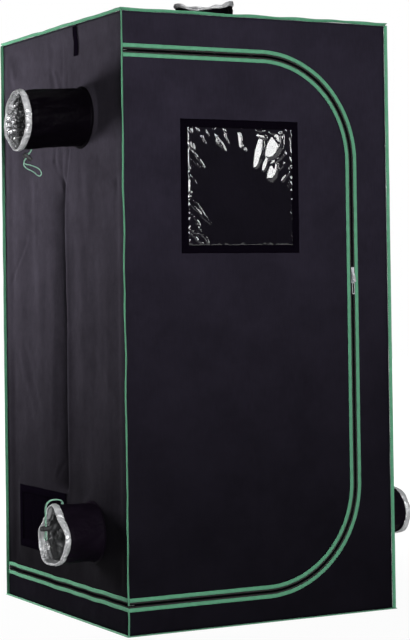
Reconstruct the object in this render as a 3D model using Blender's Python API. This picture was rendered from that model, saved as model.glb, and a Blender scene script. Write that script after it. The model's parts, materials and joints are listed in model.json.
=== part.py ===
"""Indoor grow tent, 80 by 80 by 160 cm.

A steel tube frame with moulded corner connectors carries a coated fabric shell. The front has a
D-shaped zip door with a window, the left wall, right wall and roof have duct sleeves, and the left
wall has a mesh vent. X runs to the right seen from the front, Y runs to the back, Z is up. The
origin is the centre of the base, on the floor.
"""
import math

import bmesh
import bpy
from mathutils import Matrix, Vector

# Overall size, over the fabric
WIDTH = 0.800
DEPTH = 0.800
HEIGHT = 1.600

# Fabric, running gap and how far a cutter runs past what it cuts
FABRIC = 0.0010
GAP = 0.0003
OVERRUN = 0.0050

# Frame tubes and their mid couplings
TUBE_RADIUS = 0.0080
TUBE_WALL = 0.0007
COUPLING_LENGTH = 0.0500
COUPLING_WALL = 0.0008

# Corner connectors: three sockets that meet at a corner
SOCKET_WALL = 0.0025
SOCKET_REACH = 0.0450
SOCKET_FLOOR = 0.0130
COLLAR_LENGTH = 0.0070
COLLAR_STEP = 0.0010
NECK_DIFFERENCE = 0.0003
ROUND_SIDES = 12

# Hanging bars across the top
BAR_SPACING = 0.2600
HOOK_WALL = 0.0022
HOOK_WIDTH = 0.0200
HOOK_OPEN_FROM = math.radians(215)
HOOK_OPEN_TO = math.radians(310)
HOOK_STEPS = 8
BAR_SADDLE = 0.0045

# Door zip line, given at the middle of the zip
ZIP_SIDE_INSET = 0.1145
ZIP_TOP_INSET = 0.1020
ZIP_BOTTOM_HEIGHT = 0.0795
ZIP_CORNER_RADIUS = 0.2750
ZIP_CORNER_STEPS = 9
ZIP_SHOWING = 0.0150
TAPE_THICKNESS = 0.0008
BEAD_WIDTH = 0.0029
BEAD_RISE = 0.0010

# Bindings beside the zip, lying on the fabric
BINDING_WIDTH = 0.0100
BINDING_THICKNESS = 0.0015

# Bindings that stand out from the tent's edges
EDGE_WIDTH = 0.0090
EDGE_THICKNESS = 0.0026

# Zip sliders and their pulls
SLIDER_LENGTH = 0.0215
SLIDER_WIDTH = 0.0090
SLIDER_PLATE = 0.0016
SLIDER_WEB = 0.0006
SLIDER_LIP = 0.0006
SLIDER_MEETING_HEIGHT = 0.9140
BRIDGE_LENGTH = 0.0120
BRIDGE_WIDTH = 0.0034
BRIDGE_RISE = 0.0044
BRIDGE_BAR = 0.0013
PULL_THICKNESS = 0.0014
PULL_PLAY = 0.0005
PULL_WIDTH = 0.0076
PULL_EYE = 0.0065
UPPER_PULL_LENGTH = 0.0280
LOWER_PULL_LENGTH = 0.0380

# Window in the door
WINDOW_CENTRE_X = -0.0585
WINDOW_CENTRE_FROM_TOP = 0.4490
WINDOW_WIDTH = 0.3550
WINDOW_HEIGHT = 0.3510
WINDOW_BORDER = 0.0220
PANE_THICKNESS = 0.0006
FLAP_MARGIN = 0.0080

# Mesh vent in the left wall
VENT_CENTRE_Y = 0.1480
VENT_CENTRE_Z = 0.2420
VENT_WIDTH = 0.3240
VENT_HEIGHT = 0.1760
VENT_BORDER = 0.0220
MESH_THICKNESS = 0.0006
BORDER_THICKNESS = 0.0012

# Duct sleeves
SLEEVE_RADIUS = 0.0775
SLEEVE_WALL = 0.0016
SLEEVE_FLANGE = 0.0060
SLEEVE_SIDES = 20
CUFF_LENGTH = 0.0170
CUFF_WALL = 0.0014
UPPER_LEFT_SLEEVE_Y = -0.1400
UPPER_LEFT_SLEEVE_FROM_TOP = 0.2550
UPPER_LEFT_SLEEVE_LENGTH = 0.1875
UPPER_LEFT_SLEEVE_DROOP = 0.0120
LOWER_LEFT_SLEEVE_Y = -0.1840
LOWER_LEFT_SLEEVE_Z = 0.2430
LOWER_LEFT_SLEEVE_LENGTH = 0.1180
LOWER_LEFT_SLEEVE_DROOP = 0.0060
LOWER_RIGHT_SLEEVE_Y = -0.1900
LOWER_RIGHT_SLEEVE_Z = 0.2450
LOWER_RIGHT_SLEEVE_LENGTH = 0.1750
LOWER_RIGHT_SLEEVE_DROOP = 0.0130
ROOF_SLEEVE_X = 0.0300
ROOF_SLEEVE_Y = -0.0500
ROOF_SLEEVE_LENGTH = 0.0950
ROOF_SLEEVE_DROOP = 0.0080

# Left wall folds
CREASE_Y = -0.0170
CREASE_DEPTH = 0.0080
CREASE_HALF_WIDTH = 0.2000
FOLD_DEPTH = 0.0030
FOLD_PITCH = 0.1150
FOLD_EDGE_FADE = 0.1300
FOLD_TOP_FADE = 0.2600
FOLD_PORT_FADE = 0.0600
FOLD_CELL_WIDTH = 0.0370
FOLD_CELL_HEIGHT = 0.0760

# Floor tray
TRAY_HEIGHT = 0.0900
TRAY_CLEARANCE = 0.0020
TRAY_CORNER_RADIUS = 0.0160
TRAY_CORNER_STEPS = 3
TRAY_HEM_HEIGHT = 0.0120
TRAY_HEM = 0.0008

# Strap that ties the rolled-up left wall
STRAP_Y = -0.1100
STRAP_WIDTH = 0.0250
STRAP_LENGTH = 0.0800
STRAP_THICKNESS = 0.0014
STRAP_DROP = 0.0060

# Drawcords and their locks
CORD_RADIUS = 0.0015
CORD_POINT_SPACING = 0.0072
CORD_SPREAD = 0.0022
CORD_CHANNEL_PLAY = 0.0003
LOCK_RADIUS = 0.0070
LOCK_LENGTH = 0.0200
LOCK_MOUTH = 0.0090
LOCK_WALL = 0.0016
PLUNGER_RADIUS = 0.0050
PLUNGER_TAIL = 0.0042
PLUNGER_TRAVEL = 0.0030
PLUNGER_CAP_RADIUS = 0.0064
PLUNGER_CAP = 0.0026
LOCK_SIDES = 16

# Where each cord lock sits from the middle of its sleeve at the wall, and how far the cord
# through it leans from the vertical
UPPER_LOCK_AT = (-0.1570, 0.0000, -0.1075)
UPPER_LOCK_LEAN = math.radians(35)
LOWER_LOCK_AT = (-0.1350, 0.0000, 0.0190)
LOWER_LOCK_LEAN = math.radians(0)

# Routes of the two drawcords, measured from the middle of their sleeve at the wall: from one side
# of the sleeve's neck through the lock and back
UPPER_CORD_ROUTE = (
    (-0.1450, -0.0040, -0.0866), (-0.1453, -0.0032, -0.0896), (-0.1467, -0.0022, -0.0935),
    (-0.1513, -0.0022, -0.0993), (-0.1570, -0.0022, -0.1075), (-0.1627, -0.0022, -0.1157),
    (-0.1664, -0.0024, -0.1220), (-0.1675, -0.0028, -0.1295), (-0.1630, -0.0032, -0.1365),
    (-0.1545, -0.0032, -0.1415), (-0.1450, -0.0030, -0.1455), (-0.1360, -0.0024, -0.1505),
    (-0.1290, -0.0012, -0.1560), (-0.1215, 0.0000, -0.1582), (-0.1165, 0.0010, -0.1540),
    (-0.1163, 0.0020, -0.1475), (-0.1205, 0.0026, -0.1410), (-0.1275, 0.0030, -0.1360),
    (-0.1370, 0.0032, -0.1325), (-0.1475, 0.0030, -0.1295), (-0.1580, 0.0026, -0.1277),
    (-0.1634, 0.0023, -0.1250), (-0.1650, 0.0022, -0.1204), (-0.1627, 0.0022, -0.1157),
    (-0.1570, 0.0022, -0.1075), (-0.1513, 0.0022, -0.0993), (-0.1467, 0.0022, -0.0935),
    (-0.1453, 0.0032, -0.0896), (-0.1450, 0.0040, -0.0866),
)
LOWER_CORD_ROUTE = (
    (-0.0865, -0.0040, 0.0798), (-0.0872, -0.0038, 0.0855), (-0.0915, -0.0035, 0.0900),
    (-0.0990, -0.0032, 0.0925), (-0.1080, -0.0030, 0.0932), (-0.1180, -0.0027, 0.0920),
    (-0.1275, -0.0024, 0.0875), (-0.1330, -0.0022, 0.0795), (-0.1350, -0.0022, 0.0690),
    (-0.1350, -0.0022, 0.0530), (-0.1350, -0.0022, 0.0360), (-0.1350, -0.0022, 0.0190),
    (-0.1350, -0.0022, 0.0110), (-0.1350, -0.0040, 0.0040), (-0.1350, -0.0070, -0.0025),
    (-0.1350, -0.0065, -0.0085), (-0.1350, 0.0000, -0.0115), (-0.1350, 0.0065, -0.0085),
    (-0.1350, 0.0070, -0.0025), (-0.1350, 0.0040, 0.0040), (-0.1350, 0.0022, 0.0110),
    (-0.1350, 0.0022, 0.0190), (-0.1350, 0.0022, 0.0360), (-0.1350, 0.0022, 0.0530),
    (-0.1350, 0.0022, 0.0690), (-0.1330, 0.0022, 0.0795), (-0.1275, 0.0024, 0.0875),
    (-0.1180, 0.0027, 0.0920), (-0.1080, 0.0030, 0.0932), (-0.0990, 0.0032, 0.0925),
    (-0.0915, 0.0035, 0.0900), (-0.0872, 0.0038, 0.0855), (-0.0865, 0.0040, 0.0798),
)

# Derived sizes that several pieces share
HALF_WIDTH = WIDTH / 2
HALF_DEPTH = DEPTH / 2
INNER_X = HALF_WIDTH - FABRIC - GAP
INNER_Y = HALF_DEPTH - FABRIC - GAP
WALL_FOOT = FABRIC + GAP
WALL_TOP = HEIGHT - FABRIC - GAP
SOCKET_RADIUS = TUBE_RADIUS + GAP + SOCKET_WALL
FRAME_INSET = FABRIC + GAP + SOCKET_RADIUS
POST_X = HALF_WIDTH - FRAME_INSET
POST_Y = HALF_DEPTH - FRAME_INSET
RAIL_LOW = FRAME_INSET
RAIL_HIGH = HEIGHT - FRAME_INSET
TUBE_END = SOCKET_FLOOR + GAP
SEAM_OFFSET = (ZIP_SHOWING + BINDING_WIDTH) / 2
PANEL_OFFSET = SEAM_OFFSET + GAP / 2
TAPE_OFFSET = SEAM_OFFSET - GAP / 2
BEAD_START = SLIDER_WEB / 2 + GAP
ZIP_X = HALF_WIDTH - ZIP_SIDE_INSET
ZIP_TOP = HEIGHT - ZIP_TOP_INSET
WINDOW_CENTRE_Z = HEIGHT - WINDOW_CENTRE_FROM_TOP
UPPER_LEFT_SLEEVE_Z = HEIGHT - UPPER_LEFT_SLEEVE_FROM_TOP
HINGE_OFFSET = EDGE_WIDTH / math.sqrt(2)
PORT_RADIUS = SLEEVE_RADIUS - SLEEVE_WALL
STRIP_END = EDGE_THICKNESS / 2 + GAP

UP = Vector((0, 0, 1))
LEFTWARD = Vector((-1, 0, 0))
RIGHTWARD = Vector((1, 0, 0))
FORWARD = Vector((0, -1, 0))
BACKWARD = Vector((0, 1, 0))

FINISHES = {
    "oxford": ((0.019, 0.017, 0.025), 0.72, 0.0),
    "oxford_dark": ((0.006, 0.005, 0.008), 0.78, 0.0),
    "binding": ((0.130, 0.330, 0.245), 0.62, 0.0),
    "zip": ((0.006, 0.006, 0.007), 0.55, 0.0),
    "webbing": ((0.009, 0.008, 0.010), 0.80, 0.0),
    "steel": ((0.620, 0.630, 0.650), 0.32, 1.0),
    "white_tube": ((0.780, 0.780, 0.760), 0.35, 0.0),
    "moulding": ((0.022, 0.022, 0.024), 0.45, 0.0),
    "film": ((0.080, 0.085, 0.095), 0.08, 0.0),
    "mesh": ((0.012, 0.012, 0.014), 0.70, 0.0),
    "foil_lining": ((0.700, 0.710, 0.730), 0.28, 0.6),
    "cord": ((0.180, 0.420, 0.300), 0.68, 0.0),
}


def clear_scene():
    """Removes whatever the open scene holds."""
    for item in list(bpy.data.objects):
        bpy.data.objects.remove(item, do_unlink=True)


def give_material(item, finish):
    """Gives an object a Principled material of its own."""
    colour, roughness, metallic = FINISHES[finish]
    material = bpy.data.materials.new(item.name + "_finish")
    material.use_nodes = True
    shader = material.node_tree.nodes["Principled BSDF"]
    shader.inputs["Base Color"].default_value = (*colour, 1)
    shader.inputs["Roughness"].default_value = roughness
    shader.inputs["Metallic"].default_value = metallic
    item.data.materials.append(material)


def place_object(item, finish, origin, parent):
    """Links an object whose data is already measured from its origin."""
    bpy.context.scene.collection.objects.link(item)
    item.location = origin
    if parent is not None:
        item.parent = parent
        item.location = Vector(origin) - parent.location
    if finish is not None:
        give_material(item, finish)
    return item


def add_body(name, bm, finish, origin=(0, 0, 0), parent=None, smooth=False):
    """Turns a bmesh in world coordinates into a named object with its origin where asked."""
    bmesh.ops.recalc_face_normals(bm, faces=bm.faces)
    bmesh.ops.translate(bm, verts=bm.verts, vec=-Vector(origin))
    mesh = bpy.data.meshes.new(name)
    bm.to_mesh(mesh)
    bm.free()
    if smooth:
        mesh.shade_smooth()
        mesh.set_sharp_from_angle(angle=math.radians(40))
    return place_object(bpy.data.objects.new(name, mesh), finish, origin, parent)


def add_helper(name, bm):
    """Makes a hidden object that a Boolean uses."""
    item = add_body(name, bm, None)
    item.hide_render = True
    item.display_type = "WIRE"
    return item


def combine(item, helper, operation):
    """Adds an exact Boolean to an object."""
    modifier = item.modifiers.new(operation.lower(), "BOOLEAN")
    modifier.operation = operation
    modifier.solver = "EXACT"
    modifier.object = helper


def add_pivot(name, location):
    """Makes an empty on a joint's axis for the pieces that turn about it."""
    pivot = bpy.data.objects.new(name, None)
    pivot.location = location
    bpy.context.scene.collection.objects.link(pivot)
    return pivot


def front_point(u, v, out):
    """A point on the front wall: u to the right, v up, out away from the tent."""
    return Vector((u, -HALF_DEPTH - out, v))


def back_point(u, v, out):
    """A point on the back wall."""
    return Vector((u, HALF_DEPTH + out, v))


def left_point(u, v, out):
    """A point on the left wall: u to the back, v up."""
    return Vector((-HALF_WIDTH - out, u, v))


def right_point(u, v, out):
    """A point on the right wall: u to the back, v up."""
    return Vector((HALF_WIDTH + out, u, v))


def roof_point(u, v, out):
    """A point on the roof: u to the right, v to the back."""
    return Vector((u, v, HEIGHT + out))


def floor_point(u, v, out):
    """A point on the floor: u to the right, v to the back, out up."""
    return Vector((u, v, out))


def rectangle(left, right, low, high):
    """The outline of a rectangle."""
    return [(left, low), (right, low), (right, high), (left, high)]


def centred_rectangle(centre_u, centre_v, width, height):
    """The outline of a rectangle about its centre."""
    half_w = width / 2
    half_h = height / 2
    return rectangle(centre_u - half_w, centre_u + half_w, centre_v - half_h, centre_v + half_h)


def rounded_rectangle(centre_u, centre_v, width, height, radius, steps):
    """The outline of a rectangle with round corners."""
    outline = []
    corners = ((1, 1), (-1, 1), (-1, -1), (1, -1))
    for turn, (side_u, side_v) in enumerate(corners):
        mid_u = centre_u + side_u * (width / 2 - radius)
        mid_v = centre_v + side_v * (height / 2 - radius)
        for step in range(steps + 1):
            angle = math.pi / 2 * (turn + step / steps)
            outline.append((mid_u + radius * math.cos(angle), mid_v + radius * math.sin(angle)))
    return outline


def loft(bm, rings, closed=False):
    """Joins rings of points into one closed skin."""
    loops = [[bm.verts.new(point) for point in ring] for ring in rings]
    count = len(loops[0])
    pairs = list(zip(loops, loops[1:]))
    if closed:
        pairs.append((loops[-1], loops[0]))
    for low, high in pairs:
        for index in range(count):
            after = (index + 1) % count
            bm.faces.new((low[index], low[after], high[after], high[index]))
    if not closed:
        bm.faces.new(loops[0])
        bm.faces.new(loops[-1])


def slab(bm, point, outline, low, high):
    """A flat outline with thickness, on the plane that point describes."""
    loft(bm, [[point(u, v, low) for u, v in outline], [point(u, v, high) for u, v in outline]])


def frame_slab(bm, point, outer, inner, low, high):
    """A flat ring between two outlines with as many points each."""
    loft(bm, [
        [point(u, v, low) for u, v in outer],
        [point(u, v, high) for u, v in outer],
        [point(u, v, high) for u, v in inner],
        [point(u, v, low) for u, v in inner],
    ], closed=True)


def sweep(bm, stations, profile, closed=False):
    """Runs a profile of (side, out) pairs through stations of (place, side, out)."""
    rings = [[place + side * s + out * n for s, n in profile] for place, side, out in stations]
    loft(bm, rings, closed)


def turned(bm, profile, base, axis, sides, closed=False):
    """Turns a profile of (radius, height) pairs about an axis from base."""
    axis = Vector(axis).normalized()
    guide = UP if abs(axis.z) < abs(axis.x) + abs(axis.y) else BACKWARD
    across = (guide - axis * guide.dot(axis)).normalized()
    other = axis.cross(across)
    rings = []
    for radius, height in profile:
        ring = []
        for step in range(sides):
            angle = math.tau * (step + 0.5) / sides
            spoke = across * math.cos(angle) + other * math.sin(angle)
            ring.append(Vector(base) + axis * height + spoke * radius)
        rings.append(ring)
    loft(bm, rings, closed)


def tube_profile(radius, bore, start, end):
    """The section of a plain hollow tube."""
    return [(radius, start), (radius, end), (bore, end), (bore, start)]


def arc(centre_u, centre_v, radius, start, end, steps):
    """Points along an arc, both ends included."""
    points = []
    for step in range(steps + 1):
        angle = start + (end - start) * step / steps
        points.append((centre_u + radius * math.cos(angle), centre_v + radius * math.sin(angle)))
    return points


def zip_outline(offset, left_end):
    """The D-shaped line of the door, moved outwards by an offset, from top left to bottom left."""
    radius = ZIP_CORNER_RADIUS + offset
    mid_x = ZIP_X - ZIP_CORNER_RADIUS
    high_z = ZIP_TOP - ZIP_CORNER_RADIUS
    low_z = ZIP_BOTTOM_HEIGHT + ZIP_CORNER_RADIUS
    outline = [(left_end, ZIP_TOP + offset)]
    outline += arc(mid_x, high_z, radius, math.pi / 2, 0, ZIP_CORNER_STEPS)
    outline += arc(mid_x, low_z, radius, 0, -math.pi / 2, ZIP_CORNER_STEPS)
    outline.append((left_end, ZIP_BOTTOM_HEIGHT - offset))
    return outline


def zip_stations():
    """Places and directions along the door's zip on the front of the tent."""
    middle = zip_outline(0, -INNER_X)
    outward = zip_outline(1, -INNER_X)
    stations = []
    for (u, v), (far_u, far_v) in zip(middle, outward):
        side = Vector((far_u - u, 0, far_v - v))
        stations.append((front_point(u, v, 0), side, FORWARD.copy()))
    return stations


def around_corner_stations(height):
    """Stations that carry on round the front left corner and along the left wall."""
    corner_out = LEFTWARD + FORWARD
    return [
        (Vector((-HALF_WIDTH, -HALF_DEPTH, height)), -UP, corner_out),
        (left_point(HALF_DEPTH - STRIP_END, height, 0), -UP, LEFTWARD.copy()),
    ]


def flat_binding_profile(offset):
    """Section of a binding that lies on the fabric, centred on an offset from the zip line."""
    half = BINDING_WIDTH / 2
    low = GAP
    high = GAP + BINDING_THICKNESS
    middle = (low + high) / 2
    edge = BINDING_THICKNESS / 2
    return [
        (offset - half, low), (offset - half, middle), (offset - half + edge, high),
        (offset + half - edge, high), (offset + half, middle), (offset + half, low),
    ]


def zip_half_profile(side):
    """Section of half a zip: tape under the binding and a thick bead beside the middle."""
    bead_end = BEAD_START + BEAD_WIDTH
    chamfer = BEAD_RISE / 2
    low = -TAPE_THICKNESS
    points = [
        (TAPE_OFFSET, low), (TAPE_OFFSET, 0), (bead_end, 0), (bead_end - chamfer, BEAD_RISE),
        (BEAD_START + chamfer, BEAD_RISE), (BEAD_START, BEAD_RISE - chamfer),
        (BEAD_START, low - BEAD_RISE + chamfer), (BEAD_START + chamfer, low - BEAD_RISE),
        (bead_end - chamfer, low - BEAD_RISE), (bead_end, low),
    ]
    return [(side * s, n) for s, n in points]


def edge_profile(inset=0):
    """Section of an edge binding: (away from the edge, across it), with a rounded tip."""
    half = EDGE_THICKNESS / 2 - inset / 2
    root = GAP + inset
    tip = EDGE_WIDTH - inset
    return [(root, -half), (tip - half, -half), (tip, -half / 2), (tip, half / 2), (tip - half, half),
            (root, half)]


# Frame


def make_connector(name, side_x, side_y, height, side_z):
    """A moulded corner with three sockets, each with a collar at its mouth."""
    corner = Vector((side_x * POST_X, side_y * POST_Y, height))
    directions = (UP * side_z, RIGHTWARD * -side_x, BACKWARD * -side_y)
    collar_start = SOCKET_REACH - COLLAR_LENGTH
    bodies = []
    for number, direction in enumerate(directions):
        neck = SOCKET_RADIUS - COLLAR_STEP - number * NECK_DIFFERENCE
        profile = [
            (neck, -neck), (neck, collar_start - COLLAR_STEP), (SOCKET_RADIUS, collar_start),
            (SOCKET_RADIUS, SOCKET_REACH),
        ]
        bm = bmesh.new()
        turned(bm, profile, corner, direction, ROUND_SIDES)
        bodies.append(bm)
    connector = add_body(name, bodies[0], "moulding", smooth=True)
    for number, bm in enumerate(bodies[1:]):
        combine(connector, add_helper(name + "_arm_%d" % number, bm), "UNION")
    bores = bmesh.new()
    for direction in directions:
        bore = [(TUBE_RADIUS + GAP, SOCKET_FLOOR), (TUBE_RADIUS + GAP, SOCKET_REACH + OVERRUN)]
        turned(bores, bore, corner, direction, ROUND_SIDES)
    combine(connector, add_helper(name + "_bores", bores), "DIFFERENCE")


def make_tube(name, start, end, coupling=False):
    """A thin steel tube between two corners, seated in their sockets."""
    start = Vector(start)
    end = Vector(end)
    axis = (end - start).normalized()
    reach = (end - start).length - TUBE_END
    bore = TUBE_RADIUS - TUBE_WALL
    profile = tube_profile(TUBE_RADIUS, bore, TUBE_END, reach)
    if coupling:
        middle = (end - start).length / 2
        low = middle - COUPLING_LENGTH / 2
        high = middle + COUPLING_LENGTH / 2
        wide = TUBE_RADIUS + COUPLING_WALL
        collar = [(TUBE_RADIUS, low), (wide, low), (wide, high), (TUBE_RADIUS, high)]
        profile = profile[:1] + collar + profile[1:]
    bm = bmesh.new()
    turned(bm, profile, start, axis, ROUND_SIDES, closed=True)
    add_body(name, bm, "white_tube", smooth=True)


def make_frame():
    """Eight connectors, four posts and eight rails."""
    for label_y, side_y in (("front", -1), ("back", 1)):
        for label_x, side_x in (("left", -1), ("right", 1)):
            place = label_y + "_" + label_x
            make_connector("connector_bottom_" + place, side_x, side_y, RAIL_LOW, 1)
            make_connector("connector_top_" + place, side_x, side_y, RAIL_HIGH, -1)
            foot = (side_x * POST_X, side_y * POST_Y, RAIL_LOW)
            head = (side_x * POST_X, side_y * POST_Y, RAIL_HIGH)
            make_tube("post_" + place, foot, head, coupling=True)
    for label, height in (("bottom", RAIL_LOW), ("top", RAIL_HIGH)):
        for side, y in (("front", -POST_Y), ("back", POST_Y)):
            make_tube(label + "_rail_" + side, (-POST_X, y, height), (POST_X, y, height))
        for side, x in (("left", -POST_X), ("right", POST_X)):
            make_tube(label + "_rail_" + side, (x, -POST_Y, height), (x, POST_Y, height))


def hook_outline(side):
    """A C-shaped clip round a side rail, open below, as (x, z) about the rail."""
    inner = TUBE_RADIUS + GAP
    outer = inner + HOOK_WALL
    start = HOOK_OPEN_TO - math.tau
    end = HOOK_OPEN_FROM
    outline = arc(0, 0, outer, start, end, HOOK_STEPS)
    outline += arc(0, 0, inner, end, start, HOOK_STEPS)
    return [(-side * u, v) for u, v in outline]


def make_hanging_bar(name, y):
    """A cross bar with a clip at each end that hangs on the side rails."""
    origin = (0, y, RAIL_HIGH)
    reach = POST_X - BAR_SADDLE
    rod = bmesh.new()
    turned(rod, [(TUBE_RADIUS, -reach), (TUBE_RADIUS, reach)], origin, RIGHTWARD, ROUND_SIDES)
    bar = add_body(name, rod, "white_tube", origin=origin, smooth=True)
    for label, side in (("left", -1), ("right", 1)):
        clip = bmesh.new()
        rings = []
        for shift in (-HOOK_WIDTH / 2, HOOK_WIDTH / 2):
            ring = []
            for u, v in hook_outline(side):
                ring.append(Vector((side * POST_X + u, y + shift, RAIL_HIGH + v)))
            rings.append(ring)
        loft(clip, rings)
        combine(bar, add_helper(name + "_clip_" + label, clip), "UNION")
    rails = bmesh.new()
    for side in (-1, 1):
        room = [(TUBE_RADIUS + GAP, -HOOK_WIDTH), (TUBE_RADIUS + GAP, HOOK_WIDTH)]
        turned(rails, room, (side * POST_X, y, RAIL_HIGH), BACKWARD, ROUND_SIDES)
    combine(bar, add_helper(name + "_rail_room", rails), "DIFFERENCE")
    bore = bmesh.new()
    long_reach = POST_X - TUBE_RADIUS
    turned(bore, [(TUBE_RADIUS - TUBE_WALL, -long_reach), (TUBE_RADIUS - TUBE_WALL, long_reach)],
           origin, RIGHTWARD, ROUND_SIDES)
    combine(bar, add_helper(name + "_bore", bore), "DIFFERENCE")


# Fabric shell


def port_cutter(name, base, axis):
    """A round cutter for a duct opening in a wall."""
    bm = bmesh.new()
    reach = FABRIC + OVERRUN
    turned(bm, [(PORT_RADIUS, -reach), (PORT_RADIUS, reach)], base, axis, SLEEVE_SIDES)
    return add_helper(name, bm)


def box_cutter(name, point, outline):
    """A flat-sided cutter through a wall."""
    bm = bmesh.new()
    slab(bm, point, outline, -FABRIC - OVERRUN, OVERRUN)
    return add_helper(name, bm)


def make_plain_panels():
    """Floor, roof, back wall, right wall and the skirt under the left wall."""
    panels = (
        ("floor_panel", floor_point, rectangle(-HALF_WIDTH, HALF_WIDTH, -HALF_DEPTH, HALF_DEPTH), 0, FABRIC),
        ("roof_panel", roof_point, rectangle(-HALF_WIDTH, HALF_WIDTH, -HALF_DEPTH, HALF_DEPTH), -FABRIC, 0),
        ("back_wall", back_point, rectangle(-INNER_X, INNER_X, WALL_FOOT, WALL_TOP), -FABRIC, 0),
        ("right_wall", right_point, rectangle(-HALF_DEPTH, HALF_DEPTH, WALL_FOOT, WALL_TOP), -FABRIC, 0),
        ("left_skirt", left_point,
         rectangle(-HALF_DEPTH, HALF_DEPTH, WALL_FOOT, ZIP_BOTTOM_HEIGHT - PANEL_OFFSET), -FABRIC, 0),
    )
    made = {}
    for name, point, outline, low, high in panels:
        bm = bmesh.new()
        slab(bm, point, outline, low, high)
        made[name] = add_body(name, bm, "oxford")
    roof_port = port_cutter("roof_port", roof_point(ROOF_SLEEVE_X, ROOF_SLEEVE_Y, 0), UP)
    combine(made["roof_panel"], roof_port, "DIFFERENCE")
    right_base = right_point(LOWER_RIGHT_SLEEVE_Y, LOWER_RIGHT_SLEEVE_Z, 0)
    combine(made["right_wall"], port_cutter("lower_right_port", right_base, RIGHTWARD), "DIFFERENCE")


def smooth_step(value):
    """Zero below 0, one above 1, with an easy curve between."""
    value = max(0.0, min(1.0, value))
    return value * value * (3 - 2 * value)


def port_clearance(y, z, port_y, port_z):
    """Zero at a duct opening, so the wall is flat where the sleeve is sewn on."""
    flat = SLEEVE_RADIUS + SLEEVE_FLANGE + FOLD_CELL_WIDTH
    return smooth_step((math.hypot(y - port_y, z - port_z) - flat) / FOLD_PORT_FADE)


def vent_clearance(y, z):
    """Zero at the mesh vent, so the wall is flat where its border is sewn on."""
    past_y = abs(y - VENT_CENTRE_Y) - VENT_WIDTH / 2 - FOLD_CELL_WIDTH
    past_z = abs(z - VENT_CENTRE_Z) - VENT_HEIGHT / 2 - FOLD_CELL_HEIGHT
    return smooth_step(max(past_y, past_z) / FOLD_PORT_FADE)


def fold_depth(y, z):
    """How far the left wall is drawn in: a storage crease and shallow hanging folds."""
    crease = CREASE_DEPTH * max(0.0, 1 - abs(y - CREASE_Y) / CREASE_HALF_WIDTH)
    wave = FOLD_DEPTH * (1 - math.cos(math.tau * (y - CREASE_Y) / FOLD_PITCH)) / 2
    lowest = ZIP_BOTTOM_HEIGHT + PANEL_OFFSET
    fade = smooth_step((HALF_DEPTH - abs(y)) / FOLD_EDGE_FADE)
    fade *= smooth_step((HEIGHT - z) / FOLD_TOP_FADE) * smooth_step((z - lowest) / FOLD_EDGE_FADE)
    fade *= port_clearance(y, z, UPPER_LEFT_SLEEVE_Y, UPPER_LEFT_SLEEVE_Z)
    fade *= port_clearance(y, z, LOWER_LEFT_SLEEVE_Y, LOWER_LEFT_SLEEVE_Z)
    return (crease + wave) * fade * vent_clearance(y, z)


def spaced(low, high, step):
    """Evenly spaced values that are at most a step apart."""
    count = math.ceil((high - low) / step)
    return [low + (high - low) * index / count for index in range(count + 1)]


def make_left_wall():
    """The left wall with its folds, two duct openings and the vent opening."""
    columns = spaced(-HALF_DEPTH, HALF_DEPTH, FOLD_CELL_WIDTH)
    rows = spaced(ZIP_BOTTOM_HEIGHT + PANEL_OFFSET, WALL_TOP, FOLD_CELL_HEIGHT)
    bm = bmesh.new()
    sheets = []
    for depth in (0, FABRIC):
        sheet = []
        for z in rows:
            sheet.append([bm.verts.new(left_point(y, z, -depth - fold_depth(y, z))) for y in columns])
        sheets.append(sheet)
    for sheet in sheets:
        for low, high in zip(sheet, sheet[1:]):
            for index in range(len(columns) - 1):
                bm.faces.new((low[index], low[index + 1], high[index + 1], high[index]))
    outer, inner = [boundary(sheet) for sheet in sheets]
    for index in range(len(outer)):
        after = (index + 1) % len(outer)
        bm.faces.new((outer[index], outer[after], inner[after], inner[index]))
    wall = add_body("left_wall", bm, "oxford", smooth=True)
    for label, y, z in (("upper_left_port", UPPER_LEFT_SLEEVE_Y, UPPER_LEFT_SLEEVE_Z),
                        ("lower_left_port", LOWER_LEFT_SLEEVE_Y, LOWER_LEFT_SLEEVE_Z)):
        combine(wall, port_cutter(label, left_point(y, z, 0), LEFTWARD), "DIFFERENCE")
    combine(wall, box_cutter("vent_opening", left_point, vent_hole_outline()), "DIFFERENCE")


def boundary(sheet):
    """The edge of a grid of vertices, in order."""
    edge = list(sheet[0])
    edge += [row[-1] for row in sheet[1:]]
    edge += list(reversed(sheet[-1][:-1]))
    edge += [row[0] for row in reversed(sheet[1:-1])]
    return edge


def make_front_fascia():
    """The C-shaped front panel that frames the door."""
    outline = zip_outline(PANEL_OFFSET, -INNER_X)
    outline += [(-INNER_X, WALL_FOOT), (INNER_X, WALL_FOOT), (INNER_X, WALL_TOP), (-INNER_X, WALL_TOP)]
    bm = bmesh.new()
    slab(bm, front_point, outline, -FABRIC, 0)
    add_body("front_fascia", bm, "oxford")


# Door


def make_door(pivot):
    """Door panel, its binding and its half of the zip, all carried by the hinge seam."""
    panel = bmesh.new()
    slab(panel, front_point, zip_outline(-PANEL_OFFSET, -INNER_X), -FABRIC, 0)
    door = add_body("door_panel", panel, "oxford", origin=pivot.location, parent=pivot)
    combine(door, box_cutter("window_opening", front_point, window_hole_outline(0)), "DIFFERENCE")
    stations = zip_stations()
    for name, profile, finish in (("door_binding", flat_binding_profile(-SEAM_OFFSET), "binding"),
                                  ("zip_door_half", zip_half_profile(-1), "zip")):
        bm = bmesh.new()
        sweep(bm, stations, profile)
        add_body(name, bm, finish, origin=pivot.location, parent=pivot)


def window_hole_outline(inset):
    """The opening in the door, half way under the window's border."""
    trim = WINDOW_BORDER + 2 * inset
    return centred_rectangle(WINDOW_CENTRE_X, WINDOW_CENTRE_Z, WINDOW_WIDTH - trim, WINDOW_HEIGHT - trim)


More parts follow.
